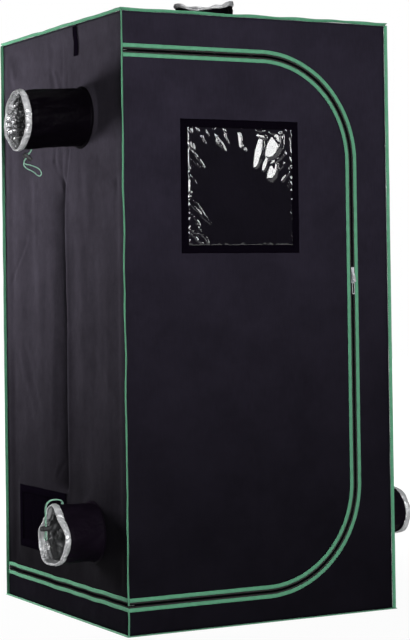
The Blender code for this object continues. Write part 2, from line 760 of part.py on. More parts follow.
def make_window(pivot):
    """Clear pane in the door, its border outside and the blackout flap inside."""
    pane = bmesh.new()
    middle = -FABRIC / 2
    half = PANE_THICKNESS / 2
    slab(pane, front_point, window_hole_outline(GAP), middle - half, middle + half)
    add_body("window_pane", pane, "film", origin=pivot.location, parent=pivot)
    outer = centred_rectangle(WINDOW_CENTRE_X, WINDOW_CENTRE_Z, WINDOW_WIDTH, WINDOW_HEIGHT)
    trim = 2 * WINDOW_BORDER
    inner = centred_rectangle(WINDOW_CENTRE_X, WINDOW_CENTRE_Z, WINDOW_WIDTH - trim, WINDOW_HEIGHT - trim)
    border = bmesh.new()
    frame_slab(border, front_point, outer, inner, GAP, GAP + BORDER_THICKNESS)
    add_body("window_border", border, "webbing", origin=pivot.location, parent=pivot)
    flap = bmesh.new()
    low = -2 * FABRIC - GAP
    width = WINDOW_WIDTH + 2 * FLAP_MARGIN
    height = WINDOW_HEIGHT + 2 * FLAP_MARGIN
    outline = centred_rectangle(WINDOW_CENTRE_X, WINDOW_CENTRE_Z, width, height)
    slab(flap, front_point, outline, low, -FABRIC - GAP)
    top = front_point(WINDOW_CENTRE_X, WINDOW_CENTRE_Z + height / 2, low + FABRIC / 2)
    add_body("window_flap", flap, "oxford", origin=top, parent=pivot)


# Zip on the frame side, bindings and edge seams


def make_frame_zip():
    """The fixed half of the door zip, and the closed zip along the foot of the left wall."""
    stations = zip_stations()[:-1] + around_corner_stations(ZIP_BOTTOM_HEIGHT)
    bm = bmesh.new()
    sweep(bm, stations, zip_half_profile(1))
    zip_half = add_body("zip_frame_half", bm, "zip")
    wall_start = left_point(-HALF_DEPTH + EDGE_THICKNESS, ZIP_BOTTOM_HEIGHT, 0)
    wall_end = left_point(HALF_DEPTH - STRIP_END, ZIP_BOTTOM_HEIGHT, 0)
    crossing = []
    for s, n in zip_half_profile(-1):
        crossing.append((BEAD_START + BEAD_WIDTH / 2 if s == -BEAD_START else s, n))
    wall_zip = bmesh.new()
    sweep(wall_zip, [(wall_start, -UP, LEFTWARD.copy()), (wall_end, -UP, LEFTWARD.copy())], crossing)
    combine(zip_half, add_helper("wall_zip_upper_half", wall_zip), "UNION")


def make_flat_bindings():
    """Bindings along the frame side of the zip and along the foot of the left wall."""
    bm = bmesh.new()
    stations = zip_stations()[:-1] + around_corner_stations(ZIP_BOTTOM_HEIGHT)
    sweep(bm, stations, flat_binding_profile(SEAM_OFFSET))
    add_body("frame_binding", bm, "binding")
    bm = bmesh.new()
    height = ZIP_BOTTOM_HEIGHT
    ends = [left_point(y, height, 0) for y in (-HALF_DEPTH + STRIP_END, HALF_DEPTH - STRIP_END)]
    sweep(bm, [(end, -UP, LEFTWARD.copy()) for end in ends], flat_binding_profile(-SEAM_OFFSET))
    add_body("left_wall_binding", bm, "binding")


def ring_stations(height):
    """The four corners of the tent with mitred directions."""
    stations = []
    for side_x, side_y in ((-1, -1), (1, -1), (1, 1), (-1, 1)):
        place = Vector((side_x * HALF_WIDTH, side_y * HALF_DEPTH, height))
        stations.append((place, Vector((side_x, side_y, 0))))
    return stations


def edge_ring(bm, height, tilt):
    """An edge binding round the whole tent, leaning up by tilt from the horizontal."""
    rings = []
    for place, out in ring_stations(height):
        ring = []
        for away, across in edge_profile():
            outward = away * math.cos(tilt) - across * math.sin(tilt)
            rise = away * math.sin(tilt) + across * math.cos(tilt)
            ring.append(place + out * outward + UP * rise)
        rings.append(ring)
    loft(bm, rings, closed=True)


def corner_leg(bm, side_x, side_y, low, high, slant):
    """An edge binding up a vertical corner, its top cut parallel to the roof binding."""
    away = Vector((side_x, side_y, 0)).normalized()
    across = Vector((-side_y, side_x, 0)).normalized()
    foot = Vector((side_x * HALF_WIDTH, side_y * HALF_DEPTH, low))
    head = Vector((side_x * HALF_WIDTH, side_y * HALF_DEPTH, high))
    head_away = away + UP * slant / math.sqrt(2)
    sweep(bm, [(foot, away, across), (head, head_away, across)], edge_profile(GAP / 2))


def make_edge_bindings():
    """Bindings on every outer edge of the tent."""
    ring_top = EDGE_THICKNESS + GAP
    upper = bmesh.new()
    edge_ring(upper, HEIGHT, math.radians(45))
    top_ring = add_body("seam_binding_upper", upper, "binding")
    for label, side_x, side_y in (("back_left", -1, 1), ("back_right", 1, 1), ("front_right", 1, -1)):
        leg = bmesh.new()
        corner_leg(leg, side_x, side_y, ring_top, HEIGHT + GAP, 1)
        combine(top_ring, add_helper("leg_" + label, leg), "UNION")
    lower = bmesh.new()
    edge_ring(lower, EDGE_THICKNESS / 2, 0)
    bottom_ring = add_body("seam_binding_lower", lower, "binding")
    stub = bmesh.new()
    stub_top = ZIP_BOTTOM_HEIGHT - SEAM_OFFSET - BINDING_WIDTH / 2 - GAP
    corner_leg(stub, -1, -1, EDGE_THICKNESS / 2, stub_top, 0)
    combine(bottom_ring, add_helper("leg_front_left", stub), "UNION")
    corner = bmesh.new()
    under_ring = HEIGHT - 3 * EDGE_THICKNESS / (2 * math.sqrt(2)) - GAP
    corner_leg(corner, -1, -1, ZIP_BOTTOM_HEIGHT + GAP, under_ring, 1)
    add_body("corner_binding_front_left", corner, "binding")


# Zip sliders


def slider_profile():
    """Section of a slider on the door's bead: front plate, thin web and short back plate."""
    half = SLIDER_WIDTH / 2
    web = SLIDER_WEB / 2
    front_low = BEAD_RISE + GAP
    front_high = front_low + SLIDER_PLATE
    back_high = -TAPE_THICKNESS - BEAD_RISE - GAP
    back_low = back_high - SLIDER_PLATE
    return [
        (-half, GAP), (-half, front_high), (half, front_high), (half, GAP),
        (half - SLIDER_LIP, GAP), (half - SLIDER_LIP, front_low), (web, front_low),
        (web, back_low), (-half, back_low), (-half, -TAPE_THICKNESS - GAP),
        (SLIDER_LIP - half, -TAPE_THICKNESS - GAP), (SLIDER_LIP - half, back_high),
        (-web, back_high), (-web, front_low), (SLIDER_LIP - half, front_low),
        (SLIDER_LIP - half, GAP),
    ]


def bridge_outline(middle):
    """The arch on a slider's face, as (height, out) pairs."""
    base = BEAD_RISE + GAP + SLIDER_PLATE
    half = BRIDGE_LENGTH / 2
    top = base + BRIDGE_RISE
    sink = SLIDER_PLATE / 2
    inner_half = half - BRIDGE_BAR
    shoulder = BRIDGE_BAR
    return [
        (middle - half, base - sink), (middle - half, top - shoulder), (middle - half + shoulder, top),
        (middle + half - shoulder, top), (middle + half, top - shoulder), (middle + half, base - sink),
        (middle + inner_half, base - sink), (middle + inner_half, top - BRIDGE_BAR),
        (middle - inner_half, top - BRIDGE_BAR), (middle - inner_half, base - sink),
    ]


def make_slider(name, low, pivot):
    """A slider body that rides on the door's bead, with a bridge for its pull."""
    middle = low + SLIDER_LENGTH / 2
    origin = front_point(ZIP_X, middle, 0)
    narrow = 1 - SLIDER_LIP / SLIDER_WIDTH
    bm = bmesh.new()
    stations = []
    for height, share in ((low, narrow), (low + SLIDER_PLATE, 1), (low + SLIDER_LENGTH - SLIDER_PLATE, 1),
                          (low + SLIDER_LENGTH, narrow)):
        stations.append((front_point(ZIP_X, height, 0), RIGHTWARD, FORWARD.copy(), share))
    profile = slider_profile()
    rings = []
    for place, side, out, share in stations:
        ring = []
        for s, n in profile:
            reach = s * share if n > 0 and abs(s) > SLIDER_WIDTH / 2 - GAP else s
            ring.append(place + side * reach + out * n)
        rings.append(ring)
    loft(bm, rings)
    slider = add_body(name, bm, "steel", origin=origin, parent=pivot)
    arch = bmesh.new()
    rings = []
    for side in (-BRIDGE_WIDTH / 2, BRIDGE_WIDTH / 2):
        rings.append([front_point(ZIP_X + side, z, out) for z, out in bridge_outline(middle)])
    loft(arch, rings)
    combine(slider, add_helper(name + "_bridge", arch), "UNION")


def pull_axis(low):
    """The middle of the bar on which a pull hangs, low in its bridge."""
    inner_half = BRIDGE_LENGTH / 2 - BRIDGE_BAR
    height = low + SLIDER_LENGTH / 2 - inner_half + PULL_PLAY + PULL_THICKNESS / 2
    out = BEAD_RISE + GAP + SLIDER_PLATE + (BRIDGE_RISE - BRIDGE_BAR) / 2
    return front_point(ZIP_X, height, out)


def make_pull(name, low, length, eye_length, tilt, pivot):
    """A flat pull with an eye round the bridge, leaning out by tilt from hanging."""
    axis = pull_axis(low)
    half_t = PULL_THICKNESS / 2
    top = half_t
    bottom = half_t - length
    half_w = PULL_WIDTH / 2
    side = PULL_THICKNESS
    corner = PULL_THICKNESS
    outer = [
        (-half_w, bottom + corner), (corner - half_w, bottom), (half_w - corner, bottom),
        (half_w, bottom + corner), (half_w, top - half_t), (half_w - half_t, top),
        (half_t - half_w, top), (-half_w, top - half_t),
    ]
    eye_low = -half_t - eye_length
    inner_w = half_w - side
    inner = [
        (-inner_w, eye_low + half_t), (half_t - inner_w, eye_low), (inner_w - half_t, eye_low),
        (inner_w, eye_low + half_t), (inner_w, -half_t - half_t), (inner_w - half_t, -half_t),
        (half_t - inner_w, -half_t), (-inner_w, -half_t - half_t),
    ]
    down = Vector((0, -math.sin(tilt), -math.cos(tilt)))
    out = Vector((0, -math.cos(tilt), math.sin(tilt)))

    def point(u, v, n):
        return axis + RIGHTWARD * u - down * v + out * n

    bm = bmesh.new()
    frame_slab(bm, point, outer, inner, -half_t, half_t)
    add_body(name, bm, "steel", origin=axis, parent=pivot)


def make_sliders(pivot):
    """Two sliders head to head, the upper pull leaning on the lower slider's bridge."""
    upper_low = SLIDER_MEETING_HEIGHT + GAP / 2
    lower_low = SLIDER_MEETING_HEIGHT - GAP / 2 - SLIDER_LENGTH
    make_slider("slider_upper", upper_low, pivot)
    make_slider("slider_lower", lower_low, pivot)
    upper_axis = pull_axis(upper_low)
    bridge_top = lower_low + (SLIDER_LENGTH + BRIDGE_LENGTH) / 2
    bridge_out = BEAD_RISE + GAP + SLIDER_PLATE + BRIDGE_RISE
    rise = bridge_out + PULL_PLAY + PULL_THICKNESS / 2 + upper_axis.y + HALF_DEPTH
    tilt = math.atan2(rise, upper_axis.z - bridge_top)
    make_pull("slider_upper_pull", upper_low, UPPER_PULL_LENGTH, PULL_EYE, tilt, pivot)
    long_eye = LOWER_PULL_LENGTH - 3 * PULL_THICKNESS
    make_pull("slider_lower_pull", lower_low, LOWER_PULL_LENGTH, long_eye, 0, pivot)


# Vent


def vent_hole_outline(inset=0):
    """The opening in the left wall, half way under the vent's border."""
    trim = VENT_BORDER + 2 * inset
    return centred_rectangle(VENT_CENTRE_Y, VENT_CENTRE_Z, VENT_WIDTH - trim, VENT_HEIGHT - trim)


def make_vent():
    """Insect mesh in the left wall, its border outside and the light flap inside."""
    middle = -FABRIC / 2
    half = MESH_THICKNESS / 2
    mesh = bmesh.new()
    slab(mesh, left_point, vent_hole_outline(GAP), middle - half, middle + half)
    add_body("vent_mesh", mesh, "mesh")
    trim = 2 * VENT_BORDER
    outer = centred_rectangle(VENT_CENTRE_Y, VENT_CENTRE_Z, VENT_WIDTH, VENT_HEIGHT)
    inner = centred_rectangle(VENT_CENTRE_Y, VENT_CENTRE_Z, VENT_WIDTH - trim, VENT_HEIGHT - trim)
    border = bmesh.new()
    frame_slab(border, left_point, outer, inner, GAP, GAP + BORDER_THICKNESS)
    add_body("vent_border", border, "webbing")
    low = -2 * FABRIC - GAP
    outline = centred_rectangle(VENT_CENTRE_Y, VENT_CENTRE_Z, VENT_WIDTH, VENT_HEIGHT)
    flap = bmesh.new()
    slab(flap, left_point, outline, low, -FABRIC - GAP)
    top = left_point(VENT_CENTRE_Y, VENT_CENTRE_Z + VENT_HEIGHT / 2, low + FABRIC / 2)
    add_body("vent_flap", flap, "oxford", origin=top)


# Duct sleeves: shares of the sleeve's radius round the mouth, from the top, towards the first side

UPPER_LEFT_MOUTH_SHARES = (1.00, 0.98, 0.90, 0.87, 1.02, 0.90, 0.92, 1.00)
LOWER_LEFT_MOUTH_SHARES = (1.09, 0.93, 1.12, 0.93, 0.90, 1.08, 1.08, 0.88)
LOWER_RIGHT_MOUTH_SHARES = (0.98, 1.04, 0.97, 1.03, 1.00, 0.95, 1.03, 1.02)
ROOF_MOUTH_SHARES = (0.95, 1.08, 1.04, 0.92, 1.00, 1.06, 1.02, 0.94)
PLAIN_RIM_SHARES = (0.00, 0.02, 0.00, -0.02, 0.00, 0.02, 0.01, -0.01)
ROOF_RIM_SHARES = (-0.10, 0.02, 0.10, -0.06, -0.12, 0.00, -0.22, -0.16)
SLEEVE_STEP_SHARES = (0.22, 0.45, 0.66)


def share_at(shares, turn):
    """Smooth value round a closed table of shares, turn from 0 to 1."""
    place = turn * len(shares)
    index = int(place) % len(shares)
    after = (index + 1) % len(shares)
    blend = smooth_step(place - int(place))
    return shares[index] * (1 - blend) + shares[after] * blend


def sleeve_rings(base, out, up, first_side, length, droop, mouth, rim):
    """Outer and inner rings of a sleeve: flange, slack tube, drawcord neck and turned-back cuff."""
    cuff_start = 1 - CUFF_LENGTH / length
    neck = cuff_start - CUFF_WALL / length
    stages = [(0, SLEEVE_FLANGE), (FABRIC / length, SLEEVE_FLANGE), (FABRIC / length, 0)]
    stages += [(share * neck, 0) for share in SLEEVE_STEP_SHARES]
    stages += [(neck - CUFF_WALL / length, 0), (neck, -CUFF_WALL / 2), (cuff_start, CUFF_WALL), (1, CUFF_WALL)]
    outer = []
    inner = []
    for along, extra in stages:
        ring_out = []
        ring_in = []
        for step in range(SLEEVE_SIDES):
            turn = step / SLEEVE_SIDES
            spoke = up * math.cos(math.tau * turn) + first_side * math.sin(math.tau * turn)
            share = 1 + (share_at(mouth, turn) - 1) * smooth_step(along)
            reach = along * length * (1 + share_at(rim, turn) * along)
            centre = base + out * (GAP + reach) - Vector((0, 0, 1)) * droop * along * along
            ring_out.append(centre + spoke * (SLEEVE_RADIUS * share + extra))
            ring_in.append(centre + spoke * (SLEEVE_RADIUS * share - SLEEVE_WALL))
        outer.append(ring_out)
        if extra <= 0 or along in (0, 1):
            inner.append(ring_in)
    return outer + inner[::-1]


def make_sleeve(name, base, out, up, first_side, length, droop, mouth, rim):
    """A fabric duct sleeve sewn to a wall round its opening."""
    bm = bmesh.new()
    rings = sleeve_rings(base, out, up, first_side, length, droop, mouth, rim)
    loft(bm, rings, closed=True)
    add_body(name, bm, "oxford_dark", smooth=True)


def make_sleeves():
    """The four duct sleeves."""
    make_sleeve("sleeve_upper_left", left_point(UPPER_LEFT_SLEEVE_Y, UPPER_LEFT_SLEEVE_Z, 0), LEFTWARD, UP,
                FORWARD, UPPER_LEFT_SLEEVE_LENGTH, UPPER_LEFT_SLEEVE_DROOP, UPPER_LEFT_MOUTH_SHARES,
                PLAIN_RIM_SHARES)
    make_sleeve("sleeve_lower_left", left_point(LOWER_LEFT_SLEEVE_Y, LOWER_LEFT_SLEEVE_Z, 0), LEFTWARD, UP,
                FORWARD, LOWER_LEFT_SLEEVE_LENGTH, LOWER_LEFT_SLEEVE_DROOP, LOWER_LEFT_MOUTH_SHARES,
                PLAIN_RIM_SHARES)
    make_sleeve("sleeve_lower_right", right_point(LOWER_RIGHT_SLEEVE_Y, LOWER_RIGHT_SLEEVE_Z, 0), RIGHTWARD,
                UP, BACKWARD, LOWER_RIGHT_SLEEVE_LENGTH, LOWER_RIGHT_SLEEVE_DROOP,
                LOWER_RIGHT_MOUTH_SHARES, PLAIN_RIM_SHARES)
    make_sleeve("sleeve_roof", roof_point(ROOF_SLEEVE_X, ROOF_SLEEVE_Y, 0), UP, BACKWARD, RIGHTWARD,
                ROOF_SLEEVE_LENGTH, ROOF_SLEEVE_DROOP, ROOF_MOUTH_SHARES, ROOF_RIM_SHARES)


# Drawcords and cord locks


def smooth_route(route, spacing):
    """Points at an even spacing along a smooth curve through a route's own points."""
    padded = [2 * route[0] - route[1]] + route + [2 * route[-1] - route[-2]]
    fine = []
    steps = 12
    for before, start, end, after in zip(padded, padded[1:], padded[2:], padded[3:]):
        for step in range(steps):
            t = step / steps
            pull = (end - before) * t + (2 * before - 5 * start + 4 * end - after) * t * t
            pull += (3 * start - before - 3 * end + after) * t * t * t
            fine.append(start + pull / 2)
    fine.append(route[-1])
    total = sum((b - a).length for a, b in zip(fine, fine[1:]))
    count = math.ceil(total / spacing)
    chosen = [fine[0]]
    travelled = 0
    for a, b in zip(fine, fine[1:]):
        step = (b - a).length
        while len(chosen) < count and travelled + step >= total * len(chosen) / count:
            chosen.append(a.lerp(b, (total * len(chosen) / count - travelled) / step))
        travelled += step
    chosen.append(fine[-1])
    return chosen


def make_cord(name, route, sleeve_base):
    """A round drawcord along its route, which is measured from its sleeve."""
    placed = [sleeve_base + Vector(point) for point in route]
    points = smooth_route(placed, CORD_POINT_SPACING)
    curve = bpy.data.curves.new(name, "CURVE")
    curve.dimensions = "3D"
    curve.bevel_depth = CORD_RADIUS
    curve.bevel_resolution = 2
    curve.use_fill_caps = True
    spline = curve.splines.new("POLY")
    spline.points.add(len(points) - 1)
    for target, point in zip(spline.points, points):
        target.co = (*point, 1)
    place_object(bpy.data.objects.new(name, curve), "cord", (0, 0, 0), None)


def lock_slot(bm, place, along, across, through, low, high):
    """A slot for two cords side by side, right through a lock."""
    half = CORD_SPREAD + CORD_RADIUS + CORD_CHANNEL_PLAY
    reach = LOCK_RADIUS + OVERRUN
    rings = []
    for shift in (-reach, reach):
        ring = []
        for side, height in ((-half, low), (half, low), (half, high), (-half, high)):
            ring.append(place + across * side + along * height + through * shift)
        rings.append(ring)
    loft(bm, rings)


def make_lock(label, place, lean, facing):
    """A barrel cord lock and its spring button, which points facing. The two cords cross it."""
    turn = Matrix.Rotation(lean, 3, "Y")
    through = turn @ -UP
    along = turn @ facing
    across = BACKWARD.copy()
    slot = CORD_RADIUS + CORD_CHANNEL_PLAY
    barrel_bore = PLUNGER_RADIUS + GAP
    foot = LOCK_MOUTH - LOCK_LENGTH
    body_profile = [
        (LOCK_RADIUS - LOCK_WALL, foot), (LOCK_RADIUS, foot + LOCK_WALL), (LOCK_RADIUS, LOCK_MOUTH),
        (barrel_bore, LOCK_MOUTH), (barrel_bore, foot + LOCK_WALL),
    ]
    bm = bmesh.new()
    turned(bm, body_profile, place, along, LOCK_SIDES)
    body = add_body("cord_lock_" + label, bm, "moulding", origin=place, smooth=True)
    cutter = bmesh.new()
    lock_slot(cutter, place, along, across, through, -slot, slot)
    combine(body, add_helper("lock_slot_" + label, cutter), "DIFFERENCE")
    cap_low = LOCK_MOUTH + PLUNGER_TRAVEL + GAP
    plunger_profile = [
        (PLUNGER_RADIUS, -PLUNGER_TAIL), (PLUNGER_RADIUS, cap_low), (PLUNGER_CAP_RADIUS, cap_low),
        (PLUNGER_CAP_RADIUS, cap_low + PLUNGER_CAP / 2), (PLUNGER_RADIUS, cap_low + PLUNGER_CAP),
    ]
    bm = bmesh.new()
    turned(bm, plunger_profile, place, along, LOCK_SIDES)
    button = add_body("cord_lock_button_" + label, bm, "moulding", origin=place, smooth=True)
    cutter = bmesh.new()
    lock_slot(cutter, place, along, across, through, -slot, slot + PLUNGER_TRAVEL)
    combine(button, add_helper("plunger_slot_" + label, cutter), "DIFFERENCE")


# Floor tray and strap


def make_tray():
    """A lift-out floor tray with upright walls and a thicker hem."""
    half_x = POST_X - SOCKET_RADIUS - TRAY_CLEARANCE
    half_y = POST_Y - SOCKET_RADIUS - TRAY_CLEARANCE

    def ring(inset, height):
        outline = rounded_rectangle(0, 0, 2 * (half_x - inset), 2 * (half_y - inset),
                                    TRAY_CORNER_RADIUS - inset, TRAY_CORNER_STEPS)
        return [Vector((u, v, height)) for u, v in outline]

    low = FABRIC + GAP
    hem_low = low + TRAY_HEIGHT - TRAY_HEM_HEIGHT
    top = low + TRAY_HEIGHT
    rings = [
        ring(TRAY_HEM, low), ring(TRAY_HEM, hem_low), ring(0, hem_low), ring(0, top),
        ring(2 * TRAY_HEM + FABRIC, top), ring(2 * TRAY_HEM + FABRIC, hem_low),
        ring(TRAY_HEM + FABRIC, hem_low), ring(TRAY_HEM + FABRIC, low + FABRIC),
    ]
    bm = bmesh.new()
    loft(bm, rings)
    add_body("floor_tray", bm, "foil_lining", origin=(0, 0, low))


def make_strap():
    """The strap that ties up the left wall, hanging below the roof seam."""
    top = HEIGHT - STRAP_DROP
    low = top - STRAP_LENGTH
    half = STRAP_WIDTH / 2
    chamfer = STRAP_THICKNESS
    outline = [
        (STRAP_Y - half, top), (STRAP_Y - half, low + chamfer), (STRAP_Y + chamfer - half, low),
        (STRAP_Y + half - chamfer, low), (STRAP_Y + half, low + chamfer), (STRAP_Y + half, top),
    ]
    bm = bmesh.new()
    slab(bm, left_point, outline, GAP, GAP + STRAP_THICKNESS)
    add_body("hanging_strap", bm, "webbing")


def build():
    """Makes the whole tent."""
    clear_scene()
    make_frame()
    make_hanging_bar("hanging_bar_front", -BAR_SPACING / 2)
    make_hanging_bar("hanging_bar_back", BAR_SPACING / 2)
    make_plain_panels()
    make_left_wall()
    make_front_fascia()
    pivot = add_pivot("door_hinge", (-HALF_WIDTH - HINGE_OFFSET, -HALF_DEPTH - HINGE_OFFSET, 0))
    make_door(pivot)
    make_window(pivot)
    make_frame_zip()
    make_flat_bindings()
    make_edge_bindings()
    make_sliders(pivot)
    make_vent()
    make_sleeves()
    upper_base = left_point(UPPER_LEFT_SLEEVE_Y, UPPER_LEFT_SLEEVE_Z, 0)
    lower_base = left_point(LOWER_LEFT_SLEEVE_Y, LOWER_LEFT_SLEEVE_Z, 0)
    make_lock("upper_left", upper_base + Vector(UPPER_LOCK_AT), UPPER_LOCK_LEAN, RIGHTWARD)
    make_lock("lower_left", lower_base + Vector(LOWER_LOCK_AT), LOWER_LOCK_LEAN, LEFTWARD)
    make_cord("drawcord_upper_left", UPPER_CORD_ROUTE, upper_base)
    make_cord("drawcord_lower_left", LOWER_CORD_ROUTE, lower_base)
    make_tray()
    make_strap()


build()
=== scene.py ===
"""Cloth, seams, zip, duct sleeves, cords and finishes of a square indoor grow tent.

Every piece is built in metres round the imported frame: X to the right seen from the front, Y to the
back, Z up, with the origin at the centre of the base.
"""
import json
import math

import bmesh
import bpy
import numpy as np
from bpy.props import FloatProperty, FloatVectorProperty, PointerProperty
from mathutils import Matrix, Vector, noise
from mathutils.geometry import delaunay_2d_cdt

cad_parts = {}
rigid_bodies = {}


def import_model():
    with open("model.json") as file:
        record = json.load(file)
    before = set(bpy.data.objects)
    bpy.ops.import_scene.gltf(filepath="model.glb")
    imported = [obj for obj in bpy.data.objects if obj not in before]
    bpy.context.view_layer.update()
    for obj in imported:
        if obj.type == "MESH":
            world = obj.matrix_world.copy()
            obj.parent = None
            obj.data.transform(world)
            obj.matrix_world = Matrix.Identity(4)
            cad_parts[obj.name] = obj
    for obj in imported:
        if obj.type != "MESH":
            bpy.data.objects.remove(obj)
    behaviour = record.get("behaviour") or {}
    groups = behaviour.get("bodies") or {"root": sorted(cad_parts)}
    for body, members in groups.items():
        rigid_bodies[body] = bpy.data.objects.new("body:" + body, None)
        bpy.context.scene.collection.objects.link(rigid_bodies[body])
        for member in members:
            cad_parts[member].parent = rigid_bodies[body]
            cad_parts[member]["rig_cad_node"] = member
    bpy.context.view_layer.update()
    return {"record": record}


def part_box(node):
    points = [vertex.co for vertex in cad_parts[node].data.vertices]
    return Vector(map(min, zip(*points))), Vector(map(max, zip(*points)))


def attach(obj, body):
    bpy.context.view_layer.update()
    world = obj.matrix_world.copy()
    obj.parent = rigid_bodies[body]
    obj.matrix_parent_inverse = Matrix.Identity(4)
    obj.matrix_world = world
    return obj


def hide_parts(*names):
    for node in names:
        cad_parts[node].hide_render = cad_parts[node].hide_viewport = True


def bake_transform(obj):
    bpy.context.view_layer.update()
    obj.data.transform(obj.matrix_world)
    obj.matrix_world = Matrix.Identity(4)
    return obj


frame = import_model()

bl_info = {
    "name": "Indoor grow tent",
    "version": (1, 0, 0),
    "blender": (4, 5, 0),
    "location": "3D View > Sidebar > Grow Tent",
    "description": "Builds the cloth, seams, zip, duct sleeves and finishes of a square grow tent",
    "category": "Object",
}

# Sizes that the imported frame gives
HALF_WIDTH, HALF_DEPTH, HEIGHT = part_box("roof_panel")[1]
DOOR_LOW, DOOR_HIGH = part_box("door_panel")
INNER_X = -DOOR_LOW.x
WALL_FOOT, WALL_TOP = [corner.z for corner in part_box("back_wall")]
SLIDER_LOW, SLIDER_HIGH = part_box("slider_lower")
ZIP_LOW, ZIP_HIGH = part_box("zip_frame_half")
ZIP_X = (SLIDER_LOW.x + SLIDER_HIGH.x) / 2
ZIP_HALF_WIDTH = ZIP_HIGH.x - ZIP_X
ZIP_TOP = ZIP_HIGH.z - ZIP_HALF_WIDTH
ZIP_BOTTOM = ZIP_LOW.z + ZIP_HALF_WIDTH
EDGE_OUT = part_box("seam_binding_lower")[1].x - HALF_WIDTH
WINDOW_LOW, WINDOW_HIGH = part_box("window_border")
PANE_LOW, PANE_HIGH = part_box("window_pane")
VENT_LOW, VENT_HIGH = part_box("vent_border")
NET_LOW, NET_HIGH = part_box("vent_mesh")

# Clear space between neighbouring pieces
GAP = 0.0003
# Strip along each edge of the tent where the cloth lies flat over the frame's tubes
FRAME_BAND = 0.0240
CLOTH_THICKNESS = 0.0009
FILM_THICKNESS = 0.0003
# How far the window's film stands out in its middle
FILM_BULGE = 0.0020
CORD_RADIUS = 0.0015
# Distance between the points of a drawcord's curve
CORD_STEP = 0.003

# Bindings, borders, strap and zip: widths, thicknesses, the steps along a run of tape, how far a
# tape stands off the corner that it goes round, and the angle of their crisp edges
EDGE_THICKNESS = 0.0026
BINDING_THICKNESS = 0.0015
BORDER_WIDTH = 0.022
BORDER_THICKNESS = 0.0012
STRAP_THICKNESS = 0.0014
ZIP_TAPE_START = 0.0030
ZIP_TAPE_TOP = 0.0001
ZIP_TAPE_FOOT = -0.0008
COIL_MIDDLE = 0.0020
COIL_HALF_WIDTH = 0.00155
COIL_HALF_HEIGHT = 0.0014
COIL_SUNK = 0.0004
SMALL_TOOTH = 0.62
FINE_STEP = 0.006
TAPE_STEP = 0.008
COARSE_STEP = 0.010
CORNER_LAP = 0.001
CORNER_STANDOFF = 0.0012
WEBBING_CREASE = 40
BINDING_CREASE = 55
EDGE_CREASE = 60

# A piece seated with this body has its place baked into its mesh and rides on no body
HINGED = "hinged"

# Floor tray and insect net
TRAY_THICKNESS = 0.0008
TRAY_CORNER = 0.0152
TRAY_FOLD = 0.003
TRAY_CORNER_STEPS = 6
TRAY_SIDE_STEPS = 30
TRAY_RISE_STEPS = 12
THREAD_SHARE = 0.17
THREAD_THICKNESS = 0.00035

# Corners and sides of a rectangle, counter-clockwise from its low corner
CORNER_SIDES = ((-1, -1), (1, -1), (1, 1), (-1, 1))
EDGE_SIDES = ((0, -1), (1, 0), (0, 1), (-1, 0))

UP = Vector((0, 0, 1))
LEFTWARD = Vector((-1, 0, 0))
RIGHTWARD = Vector((1, 0, 0))
FORWARD = Vector((0, -1, 0))
BACKWARD = Vector((0, 1, 0))

# Routes of the two drawcords from the middle of their sleeve at the wall, as in the CAD source.
# The lower one goes back as it came, on the other side of its lock.
UPPER_CORD_ROUTE = (
    (-0.1450, -0.0040, -0.0866), (-0.1453, -0.0032, -0.0896), (-0.1467, -0.0022, -0.0935),
    (-0.1513, -0.0022, -0.0993), (-0.1570, -0.0022, -0.1075), (-0.1627, -0.0022, -0.1157),
    (-0.1664, -0.0024, -0.1220), (-0.1675, -0.0028, -0.1295), (-0.1630, -0.0032, -0.1365),
    (-0.1545, -0.0032, -0.1415), (-0.1450, -0.0030, -0.1455), (-0.1360, -0.0024, -0.1505),
    (-0.1290, -0.0012, -0.1560), (-0.1215, 0.0000, -0.1582), (-0.1165, 0.0010, -0.1540),
    (-0.1163, 0.0020, -0.1475), (-0.1205, 0.0026, -0.1410), (-0.1275, 0.0030, -0.1360),
    (-0.1370, 0.0032, -0.1325), (-0.1475, 0.0030, -0.1295), (-0.1580, 0.0026, -0.1277),
    (-0.1634, 0.0023, -0.1250), (-0.1650, 0.0022, -0.1204), (-0.1627, 0.0022, -0.1157),
    (-0.1570, 0.0022, -0.1075), (-0.1513, 0.0022, -0.0993), (-0.1467, 0.0022, -0.0935),
    (-0.1453, 0.0032, -0.0896), (-0.1450, 0.0040, -0.0866),
)
LOWER_CORD_OUT = (
    (-0.0865, -0.0040, 0.0798), (-0.0872, -0.0038, 0.0855), (-0.0915, -0.0035, 0.0900),
    (-0.0990, -0.0032, 0.0925), (-0.1080, -0.0030, 0.0932), (-0.1180, -0.0027, 0.0920),
    (-0.1275, -0.0024, 0.0875), (-0.1330, -0.0022, 0.0795), (-0.1350, -0.0022, 0.0690),
    (-0.1350, -0.0022, 0.0530), (-0.1350, -0.0022, 0.0360), (-0.1350, -0.0022, 0.0190),
    (-0.1350, -0.0022, 0.0110), (-0.1350, -0.0040, 0.0040), (-0.1350, -0.0070, -0.0025),
    (-0.1350, -0.0065, -0.0085),
)
LOWER_CORD_ROUTE = (
    *LOWER_CORD_OUT, (-0.1350, 0.0000, -0.0115), *((x, -y, z) for x, y, z in LOWER_CORD_OUT[::-1]),
)

